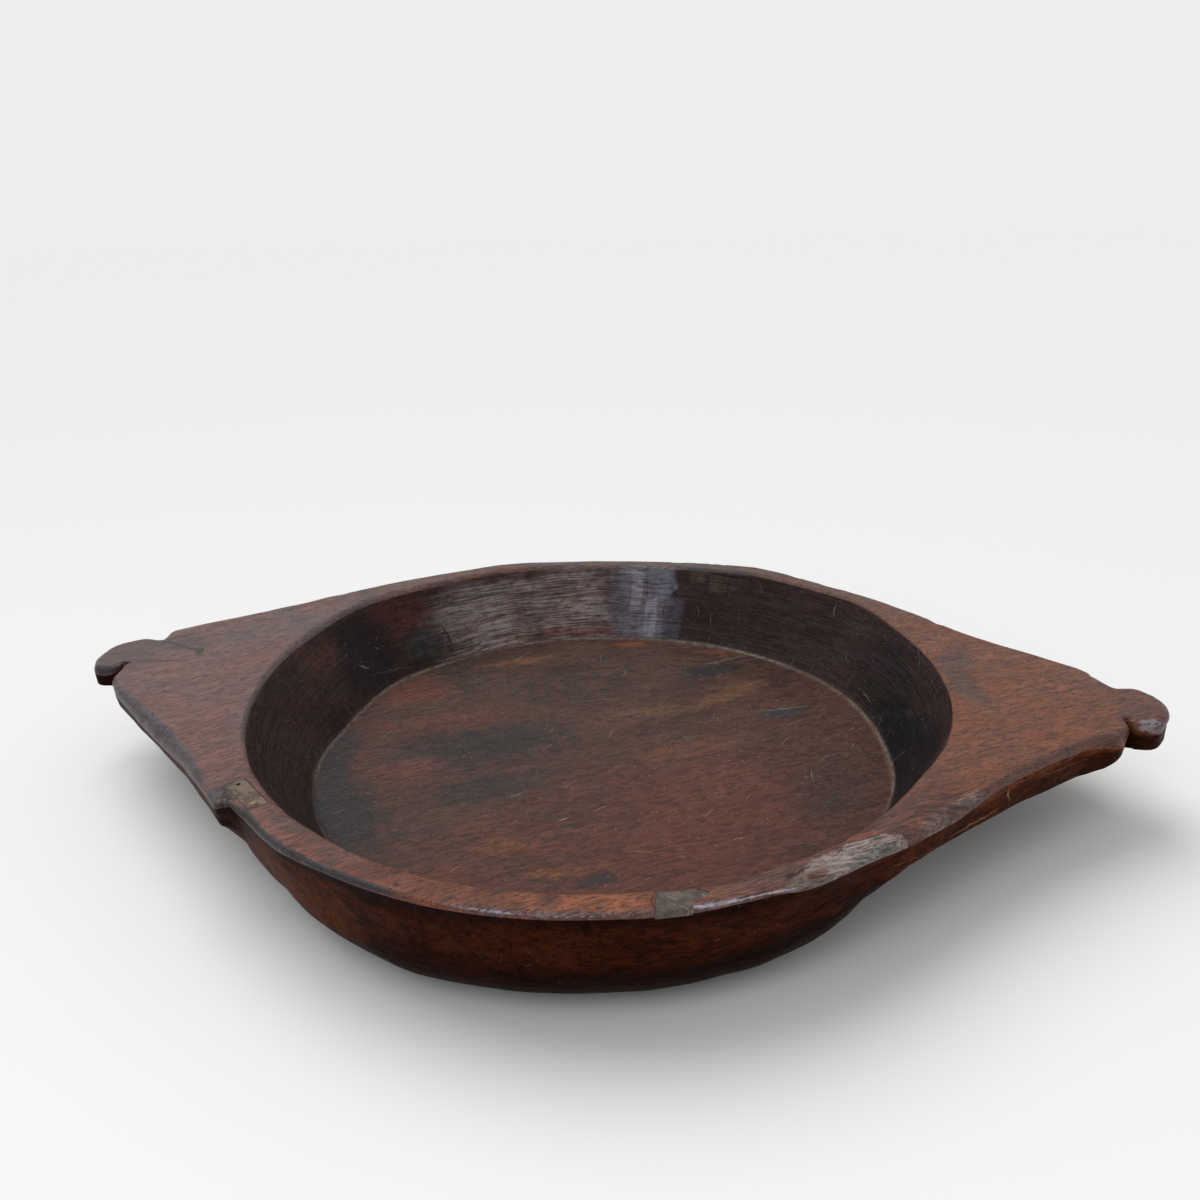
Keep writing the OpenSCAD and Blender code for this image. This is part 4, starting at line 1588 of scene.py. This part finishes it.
@dataclass
class CarvedBowl:
    """The block of hardwood: bowl, rim and both handles, carved from one piece.

    The step is a place in plan at the left handle's root. The dip is the low place at the
    rim's back, the hewn face is the long bevel at its right front, and the front root is the
    stretch of X at which the right handle's side begins. Marks, ripples and chips are depths.
    """

    top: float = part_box("bowl_body")[1].z
    columns: int = 500
    step: Pair = (-0.176, -0.168)
    front_root: Pair = (0.148, 0.186)
    depth: float = 0.055
    belly: float = 0.0012
    floor_round: float = 0.0025
    low_round: float = 0.0025
    fillet: float = 0.012
    least_wood: float = 0.009
    dip: float = 0.0045
    dip_x: float = -0.010
    dip_half: float = 0.105
    hewn_slope: float = 0.27
    hewn_from: float = 0.2275
    gouge_mark: float = 0.0006
    adze_mark: float = 0.0010
    ripple: float = 0.0002
    arris_chip: float = 0.0020
    mouth_chip: float = 0.0012
    mouth: RoundEdge = RoundEdge(
        0.2195,
        (
            Swell(152, 15, 9.5),
            Swell(39, 9, 5.5),
            Swell(-29, 13, -4.5),
            Swell(-68, 7, 3),
            Swell(-120, 14, -1.2),
            Swell(176, 9, 2),
        ),
    )
    floor: RoundEdge = RoundEdge(
        0.185,
        (Swell(90, 18, -4), Swell(152, 10, 3.5), Swell(30, 22, 3.5), Swell(176, 9, -3), Swell(-8, 14, 3)),
    )
    rim: RoundEdge = RoundEdge(
        0.2360,
        (Swell(90, 26, -1.5), Swell(-50, 8, 4.8), Swell(-124, 8, 2.2)),
    )
    thing: bpy.types.Object = field(init=False)

    def outline(self) -> np.ndarray:
        """The bowl's outer outline in plan, handles included.

        Returns:
            The outline's points, counter-clockwise from the right handle's front root.
        """
        back = self.rim.points(np.linspace(56.0, 121.0, 60))
        front = self.rim.points(np.linspace(-132.5, -58.0, 70))
        runs: list[np.ndarray] = []
        for corners, before, after in ((RIGHT_HANDLE, front[-1], back[0]), (LEFT_HANDLE, back[-1], front[0])):
            places = [before, *(corner.point() for corner in corners), after]
            curves = [corner.rounded(places[i], places[i + 2]) for i, corner in enumerate(corners)]
            runs.append(np.concatenate(curves))
        return np.concatenate([runs[0], back, runs[1], front])

    def spaced_outline(self) -> np.ndarray:
        """The outline with one point for each column, closer together round the lobes."""
        loop = self.outline()
        closed = np.vstack([loop, loop[:1]])
        stretch = np.linalg.norm(np.diff(closed, axis=0), axis=1)
        middle = (closed[1:] + closed[:-1]) / 2
        weight = 1.0 + 1.3 * smooth(0.285, 0.315, np.abs(middle[:, 0]))
        gap = np.linalg.norm(middle - np.array(self.step), axis=1)
        weight += 1.4 * (1.0 - smooth(0.012, 0.030, gap))
        run = np.concatenate([[0.0], np.cumsum(stretch * weight)])
        wanted = np.linspace(0.0, run[-1], self.columns, endpoint=False)
        spaced = np.stack([np.interp(wanted, run, closed[:, axis]) for axis in (0, 1)], 1)
        return blur_loop(spaced, 0.7)

    def outside(self, bearings: np.ndarray, height: float) -> np.ndarray:
        """Radius of the outer wall at one height.

        Args:
            bearings: Bearings in degrees.
            height: The height in metres.

        Returns:
            One radius for each bearing, in metres.
        """
        lean = round_table(bearings, WALL_LEAN)
        foot = round_table(bearings, FOOT_ROUND)
        below = np.clip(foot - height, 0.0, None)
        radius = self.rim.radii(bearings) - lean * (self.top - height)
        radius = radius - foot + np.sqrt(foot**2 - below**2)
        share = (height - self.top + self.depth) / self.depth
        hollow = self.floor.radii(bearings) * (1 - share) + self.mouth.radii(bearings) * share
        return np.maximum(radius, hollow + self.least_wood) if height > self.least_wood else radius

    def bearings(self, outline: np.ndarray) -> np.ndarray:
        """Bearing of each column on the round parts, spread as evenly as its handle allows.

        Args:
            outline: The outline with one point for each column.

        Returns:
            The bearings in degrees.
        """
        polar = np.unwrap(np.arctan2(outline[:, 1], outline[:, 0]))
        even = polar[0] + np.arange(self.columns) / self.columns * 2 * math.pi
        near = blur_loop((polar - even)[:, None], 9.0)[:, 0]
        far = blur_loop((polar - even)[:, None], 40.0)[:, 0]
        return np.degrees(even + 0.65 * near + 0.35 * far)

    def sections(self) -> Skin:
        """Rings of the bowl's whole skin between its floor and its base."""
        outline = self.spaced_outline()
        ahead = blur_loop(unit_rows(np.roll(outline, -1, 0) - np.roll(outline, 1, 0)), 0.8)
        ahead = unit_rows(ahead)
        outward = np.stack([ahead[:, 1], -ahead[:, 0]], 1)
        bearings = self.bearings(outline)
        rim = self.rim.points(bearings)
        radial = unit_rows(rim)
        reach = np.linalg.norm(outline - rim, axis=1)
        eared = smooth(0.004, 0.022, blur_loop(reach[:, None], 2.0)[:, 0])
        front_root = smooth(*self.front_root, outline[:, 0]) * (outline[:, 1] < 0.0)
        eared = np.maximum(eared, front_root)
        skin = Skin()
        lip = self.add_hollow(skin, bearings, radial)
        rounding = round_table(bearings, ARRIS_BY_BEARING) + sum(spot.at(outline) for spot in ARRIS_SPOTS)
        edge = outline - outward * rounding[:, None]
        self.add_top(skin, lip, edge)
        thickness = np.interp(outline[:, 0] / MM, *zip(*HANDLE_THICKNESS)) * MM
        lean = round_table(bearings, WALL_LEAN) * (1 - eared) + 0.04 * eared
        low = self.top - thickness
        drop = rounding * 1.05

        def side(below: np.ndarray) -> np.ndarray:
            """Places of the handle's side, or of the wall, at a depth below the top."""
            return raised(outline - outward * (lean * below)[:, None], self.top - below)

        high_side = side(drop)
        low_side = side(thickness - self.low_round)
        under_edge = side(thickness)
        under_edge[:, :2] -= outward * (self.low_round * eared)[:, None]
        skin.bend(Zone.ARRIS, raised(edge, self.top), raised(outline, self.top), high_side)
        skin.run(Zone.SIDE, high_side, low_side)
        skin.bend(Zone.LOW_ARRIS, low_side, side(thickness), under_edge)
        self.add_under(skin, under_edge, bearings, radial, eared, low)
        return skin

    def add_hollow(self, skin: Skin, bearings: np.ndarray, radial: np.ndarray) -> np.ndarray:
        """Adds the rings of the hollow, from its floor to the top of the rim.

        Args:
            skin: The rings so far.
            bearings: Bearing of each column in degrees.
            radial: Outward direction of each column in plan.

        Returns:
            Plan of the rim's inner edge on top.
        """
        floor_z = self.top - self.depth
        mouth = raised(self.mouth.points(bearings), self.top)
        seam = raised(self.floor.points(bearings), floor_z)
        rise = unit_rows(mouth - seam)
        outward = raised(radial, 0.0)
        wall_low = seam + rise * self.floor_round
        rounding = round_table(bearings, MOUTH_ROUND)[:, None]
        wall_high = mouth - rise * rounding
        lip = mouth + outward * rounding
        skin.bend(Zone.SEAM, seam - outward * self.floor_round, seam, wall_low)
        for step in range(RINGS[Zone.WALL]):
            t = step / (RINGS[Zone.WALL] - 1)
            belly = outward * self.belly * math.sin(math.pi * t)
            ring = wall_low + (wall_high - wall_low) * t + belly
            skin.add(Zone.WALL, ring[:, :2], ring[:, 2])
        skin.bend(Zone.MOUTH, wall_high, mouth, lip)
        return lip[:, :2]

    def add_top(self, skin: Skin, lip: np.ndarray, edge: np.ndarray) -> None:
        """Adds the flat top of the rim and handles, from the hollow's lip to the outer edge."""
        shares = np.linspace(0.0, 1.0, RINGS[Zone.TOP])[:, None, None]
        for plan in relax(lip * (1 - shares) + edge * shares):
            skin.add(Zone.TOP, plan, self.top)

    def add_under(
        self,
        skin: Skin,
        edge: np.ndarray,
        bearings: np.ndarray,
        radial: np.ndarray,
        eared: np.ndarray,
        low: np.ndarray,
    ) -> None:
        """Adds the underside of the handles, the outer wall, the foot and the base's edge.

        Args:
            skin: The rings so far.
            edge: Outer edge of the underside, as rows of x, y and z.
            bearings: Bearing of each column in degrees.
            radial: Outward direction of each column in plan.
            eared: Share of each column that belongs to a handle.
            low: Height of the underside in each column.
        """
        join_z = float(low.min()) - self.fillet
        join = radial * self.outside(bearings, join_z)[:, None]
        shares = np.linspace(0.0, 1.0, RINGS[Zone.UNDER])[:, None, None]
        plans = relax(edge[:, :2] * (1 - shares) + join * shares)
        for share, plan in zip(shares[:, 0], plans):
            gap = np.linalg.norm(plan - join, axis=1)
            flat = low - (low - join_z) * (1 - smooth(0.0, 0.022, gap)) ** 1.5
            wall = low - (low - join_z) * share
            skin.add(Zone.UNDER, plan, flat * eared + wall * (1 - eared))
        foot_z = float(min(value for _, value in FOOT_ROUND))
        for step in range(1, RINGS[Zone.OUTSIDE] + 1):
            height = join_z + (foot_z - join_z) * step / RINGS[Zone.OUTSIDE]
            skin.add(Zone.OUTSIDE, radial * self.outside(bearings, height)[:, None], height)
        for step in range(1, RINGS[Zone.FOOT] + 1):
            height = foot_z * (1 - math.sin(math.pi / 2 * step / RINGS[Zone.FOOT]))
            skin.add(Zone.FOOT, radial * self.outside(bearings, height)[:, None], height)
        for step in range(1, RINGS[Zone.BASE] + 1):
            skin.add(Zone.BASE, skin.rings[-1][:, :2] * 0.95, 0.0)

    def shell(self, skin: Skin) -> bpy.types.Object:
        """Spins a profile into the bowl's skin and closes its floor and base with grids.

        Args:
            skin: Places of the skin, by ring and column.

        Returns:
            The closed mesh, with each vertex in its place.
        """
        rings = np.stack(skin.rings)
        thing = start_point((0.2, 0.0, 0.0))
        for _ in range(len(rings) - 1):
            extrude(0.0, 0.0, MM)
        bpy.ops.object.mode_set(mode="OBJECT")
        heights = coordinates(thing)[:, 2]
        layer = thing.data.attributes.new("ring", "INT", "POINT")
        layer.data.foreach_set("value", np.argsort(np.argsort(heights)).astype(np.int32))
        bpy.ops.object.mode_set(mode="EDIT")
        spin_round(self.columns, 0.00001)
        bpy.ops.object.mode_set(mode="OBJECT")
        settle(thing)
        spun = coordinates(thing)
        turn = np.arctan2(spun[:, 1], spun[:, 0]) / (2 * math.pi) * self.columns
        column = np.round(turn).astype(int) % self.columns
        move_vertices(thing, rings[self.ring_numbers(thing), column])
        for edge_ring in (0, len(rings) - 1):
            self.fill_ring(thing, edge_ring)
        only(thing)
        bpy.ops.object.mode_set(mode="EDIT")
        bpy.ops.mesh.select_all(action="SELECT")
        bpy.ops.mesh.normals_make_consistent(inside=False)
        bpy.ops.object.mode_set(mode="OBJECT")
        return thing

    def ring_numbers(self, thing: bpy.types.Object) -> np.ndarray:
        """Number of the ring that each vertex belongs to."""
        numbers = np.empty(len(thing.data.vertices), np.int32)
        thing.data.attributes["ring"].data.foreach_get("value", numbers)
        return numbers

    def fill_ring(self, thing: bpy.types.Object, number: int) -> None:
        """Closes one open ring with a grid of faces, whose vertices get the ring's number.

        Args:
            thing: The mesh, whose ring attribute numbers its rings.
            number: The ring to close.
        """
        only(thing)
        bpy.ops.object.mode_set(mode="EDIT")
        bpy.ops.mesh.select_mode(type="VERT")
        bpy.ops.mesh.select_all(action="DESELECT")
        bpy.ops.object.mode_set(mode="OBJECT")
        before = self.ring_numbers(thing)
        thing.data.vertices.foreach_set("select", before == number)
        bpy.ops.object.mode_set(mode="EDIT")
        bpy.ops.mesh.fill_grid(span=self.columns // 4)
        bpy.ops.object.mode_set(mode="OBJECT")
        after = self.ring_numbers(thing)
        after[len(before) :] = number
        thing.data.attributes["ring"].data.foreach_set("value", after)

    def marks(self, places: np.ndarray, numbers: np.ndarray, member: dict[Zone, np.ndarray]) -> np.ndarray:
        """Depth of the gouge and adze marks, ripples and chips, shallower near the repairs.

        Args:
            places: Places of the smooth skin.
            numbers: Number of the ring that each place belongs to.
            member: Which places belong to each zone.

        Returns:
            One depth for each place, in metres.
        """
        hills = hill_noise(places, (0.09, 0.05, 0.05), 3.1)
        ripples = hill_noise(places, (0.035, 0.011, 0.011), 8.4)
        scoops = gouge_noise(places, (0.026, 0.026, 0.045), 1.3)
        adze = gouge_noise(places, (0.045, 0.045, 0.022), 6.2)
        chips = np.clip(hill_noise(places, (0.016, 0.016, 0.016), 5.5) - 0.25, 0.0, 1.0)
        upper = member[Zone.TOP] | member[Zone.ARRIS]
        inner = member[Zone.SEAM] & (numbers == 0)
        hollow = member[Zone.WALL] | member[Zone.MOUTH]
        outer = member[Zone.OUTSIDE] | member[Zone.FOOT] | member[Zone.SIDE] | member[Zone.LOW_ARRIS]
        hewn = outer | member[Zone.UNDER]
        depth = np.where(upper, 0.0006 * (hills + 0.6) + 0.00022 * (ripples + 0.5), 0.0)
        depth += np.where(inner, 0.0007 * hills + self.ripple * ripples, 0.0)
        depth += np.where(hollow, self.gouge_mark * scoops + self.ripple * ripples, 0.0)
        depth += np.where(hewn, self.adze_mark * adze + self.ripple * ripples, 0.0)
        depth += np.where(member[Zone.ARRIS], self.arris_chip * chips, 0.0)
        depth += np.where(member[Zone.MOUTH], self.mouth_chip * chips, 0.0)
        depth[member[Zone.BASE]] = 0.0
        share = np.ones(len(places))
        for node in ("repair_plate", "rim_fill"):
            middle = (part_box(node)[0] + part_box(node)[1]) / 2
            gap = np.hypot(places[:, 0] - middle.x, places[:, 1] - middle.y)
            share *= 0.25 + 0.75 * smooth(0.014, 0.030, gap)
        return np.clip(depth, -0.001, 0.004) * share

    def fall(self, places: np.ndarray) -> np.ndarray:
        """How far the dip at the back and the hewn face take each place down, in metres."""
        x, y, z = places.T
        dip = np.clip(1.0 - ((x - self.dip_x) / self.dip_half) ** 2, 0.0, 1.0)
        dip = dip * self.dip * smooth(0.16, 0.19, y) * smooth(self.top - 0.035, self.top - 0.002, z)
        bearing = np.degrees(np.arctan2(y, x))
        window = smooth(-61.0, -55.0, bearing) * (1.0 - smooth(-33.0, -24.0, bearing))
        slope = np.clip(np.hypot(x, y) - self.hewn_from, 0.0, 0.03) * self.hewn_slope
        return dip + window * slope * smooth(self.top - 0.024, self.top - 0.003, z)

    def carve(self, skin: Skin) -> None:
        """Works the smooth skin over, and keeps how near each vertex is to the bowl's edges.

        Args:
            skin: The rings that the mesh was made from.
        """
        places = coordinates(self.thing)
        numbers = self.ring_numbers(self.thing)
        member = {zone: np.array([z is zone for z in skin.zones])[numbers] for zone in Zone}
        marks = self.marks(places, numbers, member)
        worked = places - vertex_normals(self.thing) * marks[:, None]
        worked[:, 2] -= self.fall(places)
        move_vertices(self.thing, worked)
        seam = np.exp(-((numbers - 2.2) / 0.95) ** 2)
        store(self.thing, "edges", np.stack([member[Zone.ARRIS], seam, member[Zone.MOUTH]], 1))
        # The arris's middle line, kept for the painted highlight along it
        arris_rings = [number for number, zone in enumerate(skin.zones) if zone is Zone.ARRIS]
        line = np.exp(-((numbers - np.mean(arris_rings)) / 0.9) ** 2)
        store(self.thing, "arris_line", np.outer(line, (1.0, 0.0, 0.0)))
        self.choose_finishes(skin, numbers)

    def choose_finishes(self, skin: Skin, numbers: np.ndarray) -> None:
        """Gives every face the finish of its part of the bowl.

        Args:
            skin: The rings that the mesh was made from.
            numbers: Number of the ring that each vertex belongs to.
        """
        finishes = tuple(WOOD_FINISHES)
        for finish in finishes:
            self.thing.data.materials.append(WOOD_FINISHES[finish].build())
        of_ring = np.array([finishes.index(FINISH_OF_ZONE.get(zone, "outside")) for zone in skin.zones])
        corners = np.empty(len(self.thing.data.loops), np.int32)
        self.thing.data.loops.foreach_get("vertex_index", corners)
        starts = np.empty(len(self.thing.data.polygons), np.int32)
        self.thing.data.polygons.foreach_get("loop_start", starts)
        lowest = np.minimum.reduceat(numbers[corners], starts)
        self.thing.data.polygons.foreach_set("material_index", of_ring[lowest].astype(np.int32))

    def build(self) -> bpy.types.Object:
        """Models the bowl, without the seats of its repairs, and returns it."""
        skin = self.sections()
        self.thing = rename(self.shell(skin), "carved_bowl")
        self.carve(skin)
        LOG.info("carved bowl: %d faces", len(self.thing.data.polygons))
        return self.thing

    def finish(self) -> None:
        """Shades the bowl and puts it in the frame, once its repairs are cut in."""
        shade(self.thing, 50)
        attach(self.thing, "root")
        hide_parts("bowl_body")


# The old repairs


@dataclass
class BrassPlate:
    """The small brass plate let in across the crack at the left handle's root.

    The gap goes round its seat, the play lies under it, and the overrun is how far a cutter
    reaches past what it cuts.
    """

    length: float = 0.032
    width: float = 0.011
    thickness: float = 0.0012
    turn: float = -41.8
    gap: float = 0.0002
    play: float = 0.0001
    hole: float = 0.00115
    hole_depth: float = 0.0145
    overrun: float = 0.002
    open_hole: Pair = (-0.012, 0.0005)
    nailed_hole: Pair = (0.012, -0.0005)
    finish: BrassFinish = BrassFinish("old_brass", (96, 79, 63), (66, 54, 46), 0.46, 0.6)

    def middle(self) -> Vector:
        """Middle of the plate's upper face."""
        low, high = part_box("repair_plate")
        return Vector(((low.x + high.x) / 2, (low.y + high.y) / 2, high.z))

    def at(self, local: Pair) -> Vector:
        """Place on the plate's upper face of a point along and across it."""
        turned = Matrix.Rotation(math.radians(self.turn), 3, "Z") @ Vector((*local, 0.0))
        return self.middle() + turned

    def block(self, spare: float, height: float) -> bpy.types.Object:
        """A block as long and wide as the plate.

        Args:
            spare: Length added on each side.
            height: Height of the block.

        Returns:
            The block, with its middle at the plate's upper face.
        """
        bpy.ops.mesh.primitive_cube_add(size=1.0)
        block = bpy.context.object
        block.scale = (self.length + 2 * spare, self.width + 2 * spare, height)
        settle(block)
        block.rotation_euler.z = math.radians(self.turn)
        block.location = self.middle()
        settle(block)
        return block

    def drill(self, local: Pair, depth: float) -> bpy.types.Object:
        """A round cutter for a nail hole, that reaches a depth below the plate's face."""
        middle = self.at(local) - Vector((0, 0, (depth - self.overrun) / 2))
        reach = depth + self.overrun
        bpy.ops.mesh.primitive_cylinder_add(vertices=24, radius=self.hole, depth=reach, location=middle)
        drill = bpy.context.object
        settle(drill)
        return drill

    def cut_into(self, bowl: bpy.types.Object) -> None:
        """Cuts the plate's seat and both nail holes into the bowl."""
        cut_away(bowl, self.block(self.gap, 2 * self.thickness + self.play))
        for local in (self.open_hole, self.nailed_hole):
            cut_away(bowl, self.drill(local, self.hole_depth))

    def build(self) -> bpy.types.Object:
        """Models the plate and returns it."""
        plate = self.block(0.0, self.thickness)
        plate.location.z = -self.thickness / 2
        settle(plate)
        only(plate)
        bpy.ops.object.mode_set(mode="EDIT")
        bpy.ops.mesh.select_all(action="SELECT")
        bpy.ops.mesh.bevel(offset=0.0003, segments=2, affect="EDGES")
        bpy.ops.mesh.select_all(action="SELECT")
        bpy.ops.mesh.subdivide(number_cuts=9)
        bpy.ops.object.mode_set(mode="OBJECT")
        places = coordinates(plate)
        top = places[:, 2] > self.middle().z - self.thickness / 2
        dents = hill_noise(places, (0.006, 0.006, 0.006), 4.2) + 0.7
        places[:, 2] -= np.where(top, 0.00012 * np.clip(dents, 0.0, 2.0), 0.0)
        move_vertices(plate, places)
        for local in (self.open_hole, self.nailed_hole):
            cut_away(plate, self.drill(local, self.thickness + self.overrun))
        rename(plate, "brass_plate")
        plate.data.materials.clear()
        plate.data.materials.append(self.finish.build())
        shade(plate, 35)
        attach(plate, "root")
        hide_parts("repair_plate")
        LOG.info("brass plate: %d faces", len(plate.data.polygons))
        return plate


@dataclass
class PlateNail:
    """The one nail left in the plate, with a low domed and worn head."""

    shank: float = 0.0011
    head: float = 0.0022
    rise: float = 0.0008
    length: float = 0.0138
    steps: int = 32
    finish: BrassFinish = BrassFinish("nail_brass", (124, 108, 82), (70, 58, 46), 0.40, 0.6)

    def profile(self) -> tuple[Pair, ...]:
        """Radii and heights above the plate of the nail's section."""
        dome = [
            (self.head * math.sin(math.radians(angle)), self.rise * math.cos(math.radians(angle)))
            for angle in (0, 18, 36, 54, 70, 82, 90)
        ]
        tip = ((self.shank, 0.0), (self.shank, -self.length + 0.003), (0.0, -self.length))
        return (*dome, *tip)

    def build(self) -> bpy.types.Object:
        """Models the nail and returns it."""
        low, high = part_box("plate_nail")
        axis = Vector(((low.x + high.x) / 2, (low.y + high.y) / 2, high.z - self.rise))
        profile = self.profile()
        nail = start_point((0.0, 0.0, profile[0][1]))
        for (r0, z0), (r1, z1) in zip(profile, profile[1:]):
            extrude(r1 - r0, 0.0, z1 - z0)
        spin_round(self.steps, 0.000005)
        bpy.ops.mesh.normals_make_consistent(inside=False)
        bpy.ops.object.mode_set(mode="OBJECT")
        settle(nail)
        nail.location = axis
        settle(nail)
        rename(nail, "domed_nail")
        nail.data.materials.append(self.finish.build())
        shade(nail, 40)
        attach(nail, "root")
        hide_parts("plate_nail")
        LOG.info("domed nail: %d faces", len(nail.data.polygons))
        return nail


@dataclass
class RimFiller:
    """The grey filler in the front rim, with one straight and one ragged side.

    The corners are in millimetres in plan, and reach past the rim on both sides. The gap lies
    between the filler and the wood, and the overrun is how far the cutter stands above the rim.
    """

    depth: float = 0.005
    sink: float = 0.0003
    gap: float = 0.0001
    half_width: float = 0.012
    overrun: float = 0.006
    corners: tuple[Pair, ...] = (
        (60.0, -204.0),
        (60.4, -212.0),
        (61.4, -227.0),
        (62.2, -246.0),
        (71.5, -246.0),
        (73.6, -231.0),
        (74.4, -225.5),
        (77.6, -222.5),
        (78.2, -217.0),
        (84.0, -213.4),
        (84.6, -210.4),
        (79.0, -209.0),
        (76.8, -204.0),
    )
    finish: FillerFinish = FillerFinish("grey_filler", (82, 69, 60), (52, 37, 29))

    def prism(self, shrink: float) -> bpy.types.Object:
        """A prism over the filler's corners, from its depth to above the rim.

        Args:
            shrink: Length by which its sides stand back.

        Returns:
            The prism.
        """
        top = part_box("bowl_body")[1].z
        places = [Vector((x * MM, y * MM)) for x, y in self.corners]
        middle = sum(places, Vector((0.0, 0.0))) / len(places)
        places = [middle + (place - middle) * (1 - shrink / self.half_width) for place in places]
        prism = start_point((*places[0], top - self.depth + shrink))
        for before, after in zip(places, places[1:]):
            extrude(after.x - before.x, after.y - before.y, 0.0)
        bpy.ops.mesh.select_all(action="SELECT")
        bpy.ops.mesh.edge_face_add()
        extrude(0.0, 0.0, self.depth + self.overrun)
        bpy.ops.mesh.select_all(action="SELECT")
        bpy.ops.mesh.normals_make_consistent(inside=False)
        bpy.ops.object.mode_set(mode="OBJECT")
        settle(prism)
        return prism

    def build(self, bowl: bpy.types.Object) -> bpy.types.Object:
        """Takes the filler out of the bowl's skin, cuts its place and returns the filler.

        Args:
            bowl: The carved bowl, not yet cut here.

        Returns:
            The filler.
        """
        only(bowl)
        bpy.ops.object.duplicate()
        filler = bpy.context.object
        cut_away(filler, self.prism(self.gap), "INTERSECT")
        cut_away(bowl, self.prism(0.0))
        places = coordinates(filler)
        upper = vertex_normals(filler)[:, 2] > 0.2
        pits = hill_noise(places, (0.004, 0.004, 0.004), 7.7)
        places[:, 2] -= np.where(upper, self.sink + 0.0002 * np.clip(pits, 0.0, 1.0), 0.0)
        move_vertices(filler, places)
        rename(filler, "rim_filler")
        filler.data.materials.clear()
        filler.data.materials.append(self.finish.build())
        shade(filler, 40)
        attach(filler, "root")
        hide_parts("rim_fill")
        LOG.info("rim filler: %d faces", len(filler.data.polygons))
        return filler


# The studio


@dataclass
class Studio:
    """Pale floor, soft light and a camera at the photograph's angle."""

    lens: float = 31.82
    place: Triple = (0.10523, -0.60711, 0.37783)
    yaw: float = -0.1667
    pitch: float = 0.3867
    roll: float = -0.0316
    floor_half: float = 6.0
    floor_tone: Triple = (240, 240, 239)
    seen_white: float = 0.849
    soft_light: float = 0.55
    sky_source: Triple = (-0.45, 0.4, 1.0)
    sky_strength: float = 1.55
    sky_spread: float = 50.0
    window_place: Triple = (-0.24, -0.98, 1.12)
    window_power: float = 3.0
    window_size: float = 0.7
    window_tint: Triple = (0.86, 0.92, 1.0)

    def camera(self) -> bpy.types.Object:
        """Adds the camera and makes it the scene's own."""
        data = bpy.data.cameras.new("photo_camera")
        data.lens = self.lens
        data.sensor_width = 36.0
        data.clip_start = 0.01
        camera = bpy.data.objects.new("photo_camera", data)
        bpy.context.scene.collection.objects.link(camera)
        ahead = Vector(
            (
                math.sin(self.yaw) * math.cos(self.pitch),
                math.cos(self.yaw) * math.cos(self.pitch),
                -math.sin(self.pitch),
            )
        )
        right = Vector((math.cos(self.yaw), -math.sin(self.yaw), 0.0))
        up = right.cross(ahead)
        across = math.cos(self.roll) * right + math.sin(self.roll) * up
        upward = -math.sin(self.roll) * right + math.cos(self.roll) * up
        turned = Matrix((across, upward, -ahead)).transposed().to_4x4()
        camera.matrix_world = Matrix.Translation(self.place) @ turned
        bpy.context.scene.camera = camera
        return camera

    def floor(self) -> bpy.types.Object:
        """Adds the plain pale floor."""
        bpy.ops.mesh.primitive_plane_add(size=2 * self.floor_half, location=(0, 0, 0))
        floor = rename(bpy.context.object, "studio_floor")
        material = bpy.data.materials.new("pale_floor")
        material.use_nodes = True
        shader = material.node_tree.nodes["Principled BSDF"]
        shader.inputs["Base Color"].default_value = tone(*self.floor_tone)
        shader.inputs["Roughness"].default_value = 1.0
        shader.inputs["Specular IOR Level"].default_value = 0.0
        floor.data.materials.append(material)
        return floor

    def world(self) -> None:
        """Surrounds the bowl with even white, dimmer for the light that it gives."""
        world = bpy.data.worlds.new("studio")
        world.use_nodes = True
        bpy.context.scene.world = world
        graph = Graph(world.node_tree)
        path = graph.node("LightPath").outputs
        mirrored = graph.math("MAXIMUM", path["Is Glossy Ray"], path["Is Transmission Ray"])
        seen = graph.math("MAXIMUM", mirrored, path["Is Camera Ray"])
        background = world.node_tree.nodes["Background"]
        background.inputs["Color"].default_value = (1.0, 1.0, 0.992, 1.0)
        more = self.seen_white - self.soft_light
        graph.feed(background.inputs["Strength"], graph.math("MULTIPLY_ADD", seen, more, self.soft_light))

    def lamp(self, name: str, kind: str, source: Triple) -> bpy.types.Object:
        """Adds a lamp that shines on the bowl.

        Args:
            name: Name of the lamp.
            kind: Blender's kind of lamp.
            source: Place, or direction, that its light comes from.

        Returns:
            The lamp.
        """
        lamp = bpy.data.objects.new(name, bpy.data.lights.new(name, kind))
        bpy.context.scene.collection.objects.link(lamp)
        lamp.rotation_euler = (-Vector(source)).to_track_quat("-Z", "Y").to_euler()
        return lamp

    def sky(self) -> None:
        """Adds very soft light from one side of the ceiling, even over the whole floor."""
        lamp = self.lamp("soft_ceiling", "SUN", self.sky_source)
        lamp.data.energy = self.sky_strength
        lamp.data.angle = math.radians(self.sky_spread)

    def window(self) -> None:
        """Adds a soft square lamp in front of the bowl."""
        lamp = self.lamp("window", "AREA", self.window_place)
        lamp.location = self.window_place
        lamp.data.energy = self.window_power
        lamp.data.size = self.window_size
        lamp.data.color = self.window_tint

    def build(self) -> None:
        """Adds the floor, the light and the camera."""
        self.floor()
        self.world()
        self.sky()
        self.window()
        self.camera()
        bpy.context.scene.view_settings.view_transform = "Standard"
        LOG.info("studio: floor, lamps and camera")


def main() -> None:
    """Builds each part of the scene in order and reports it."""
    logging.basicConfig(level=logging.INFO, format="%(name)s: %(message)s")
    bowl = CarvedBowl()
    block = bowl.build()
    RimFiller().build(block)
    plate = BrassPlate()
    plate.cut_into(block)
    bowl.finish()
    plate.build()
    PlateNail().build()
    Studio().build()


if __name__ == "__main__":
    main()
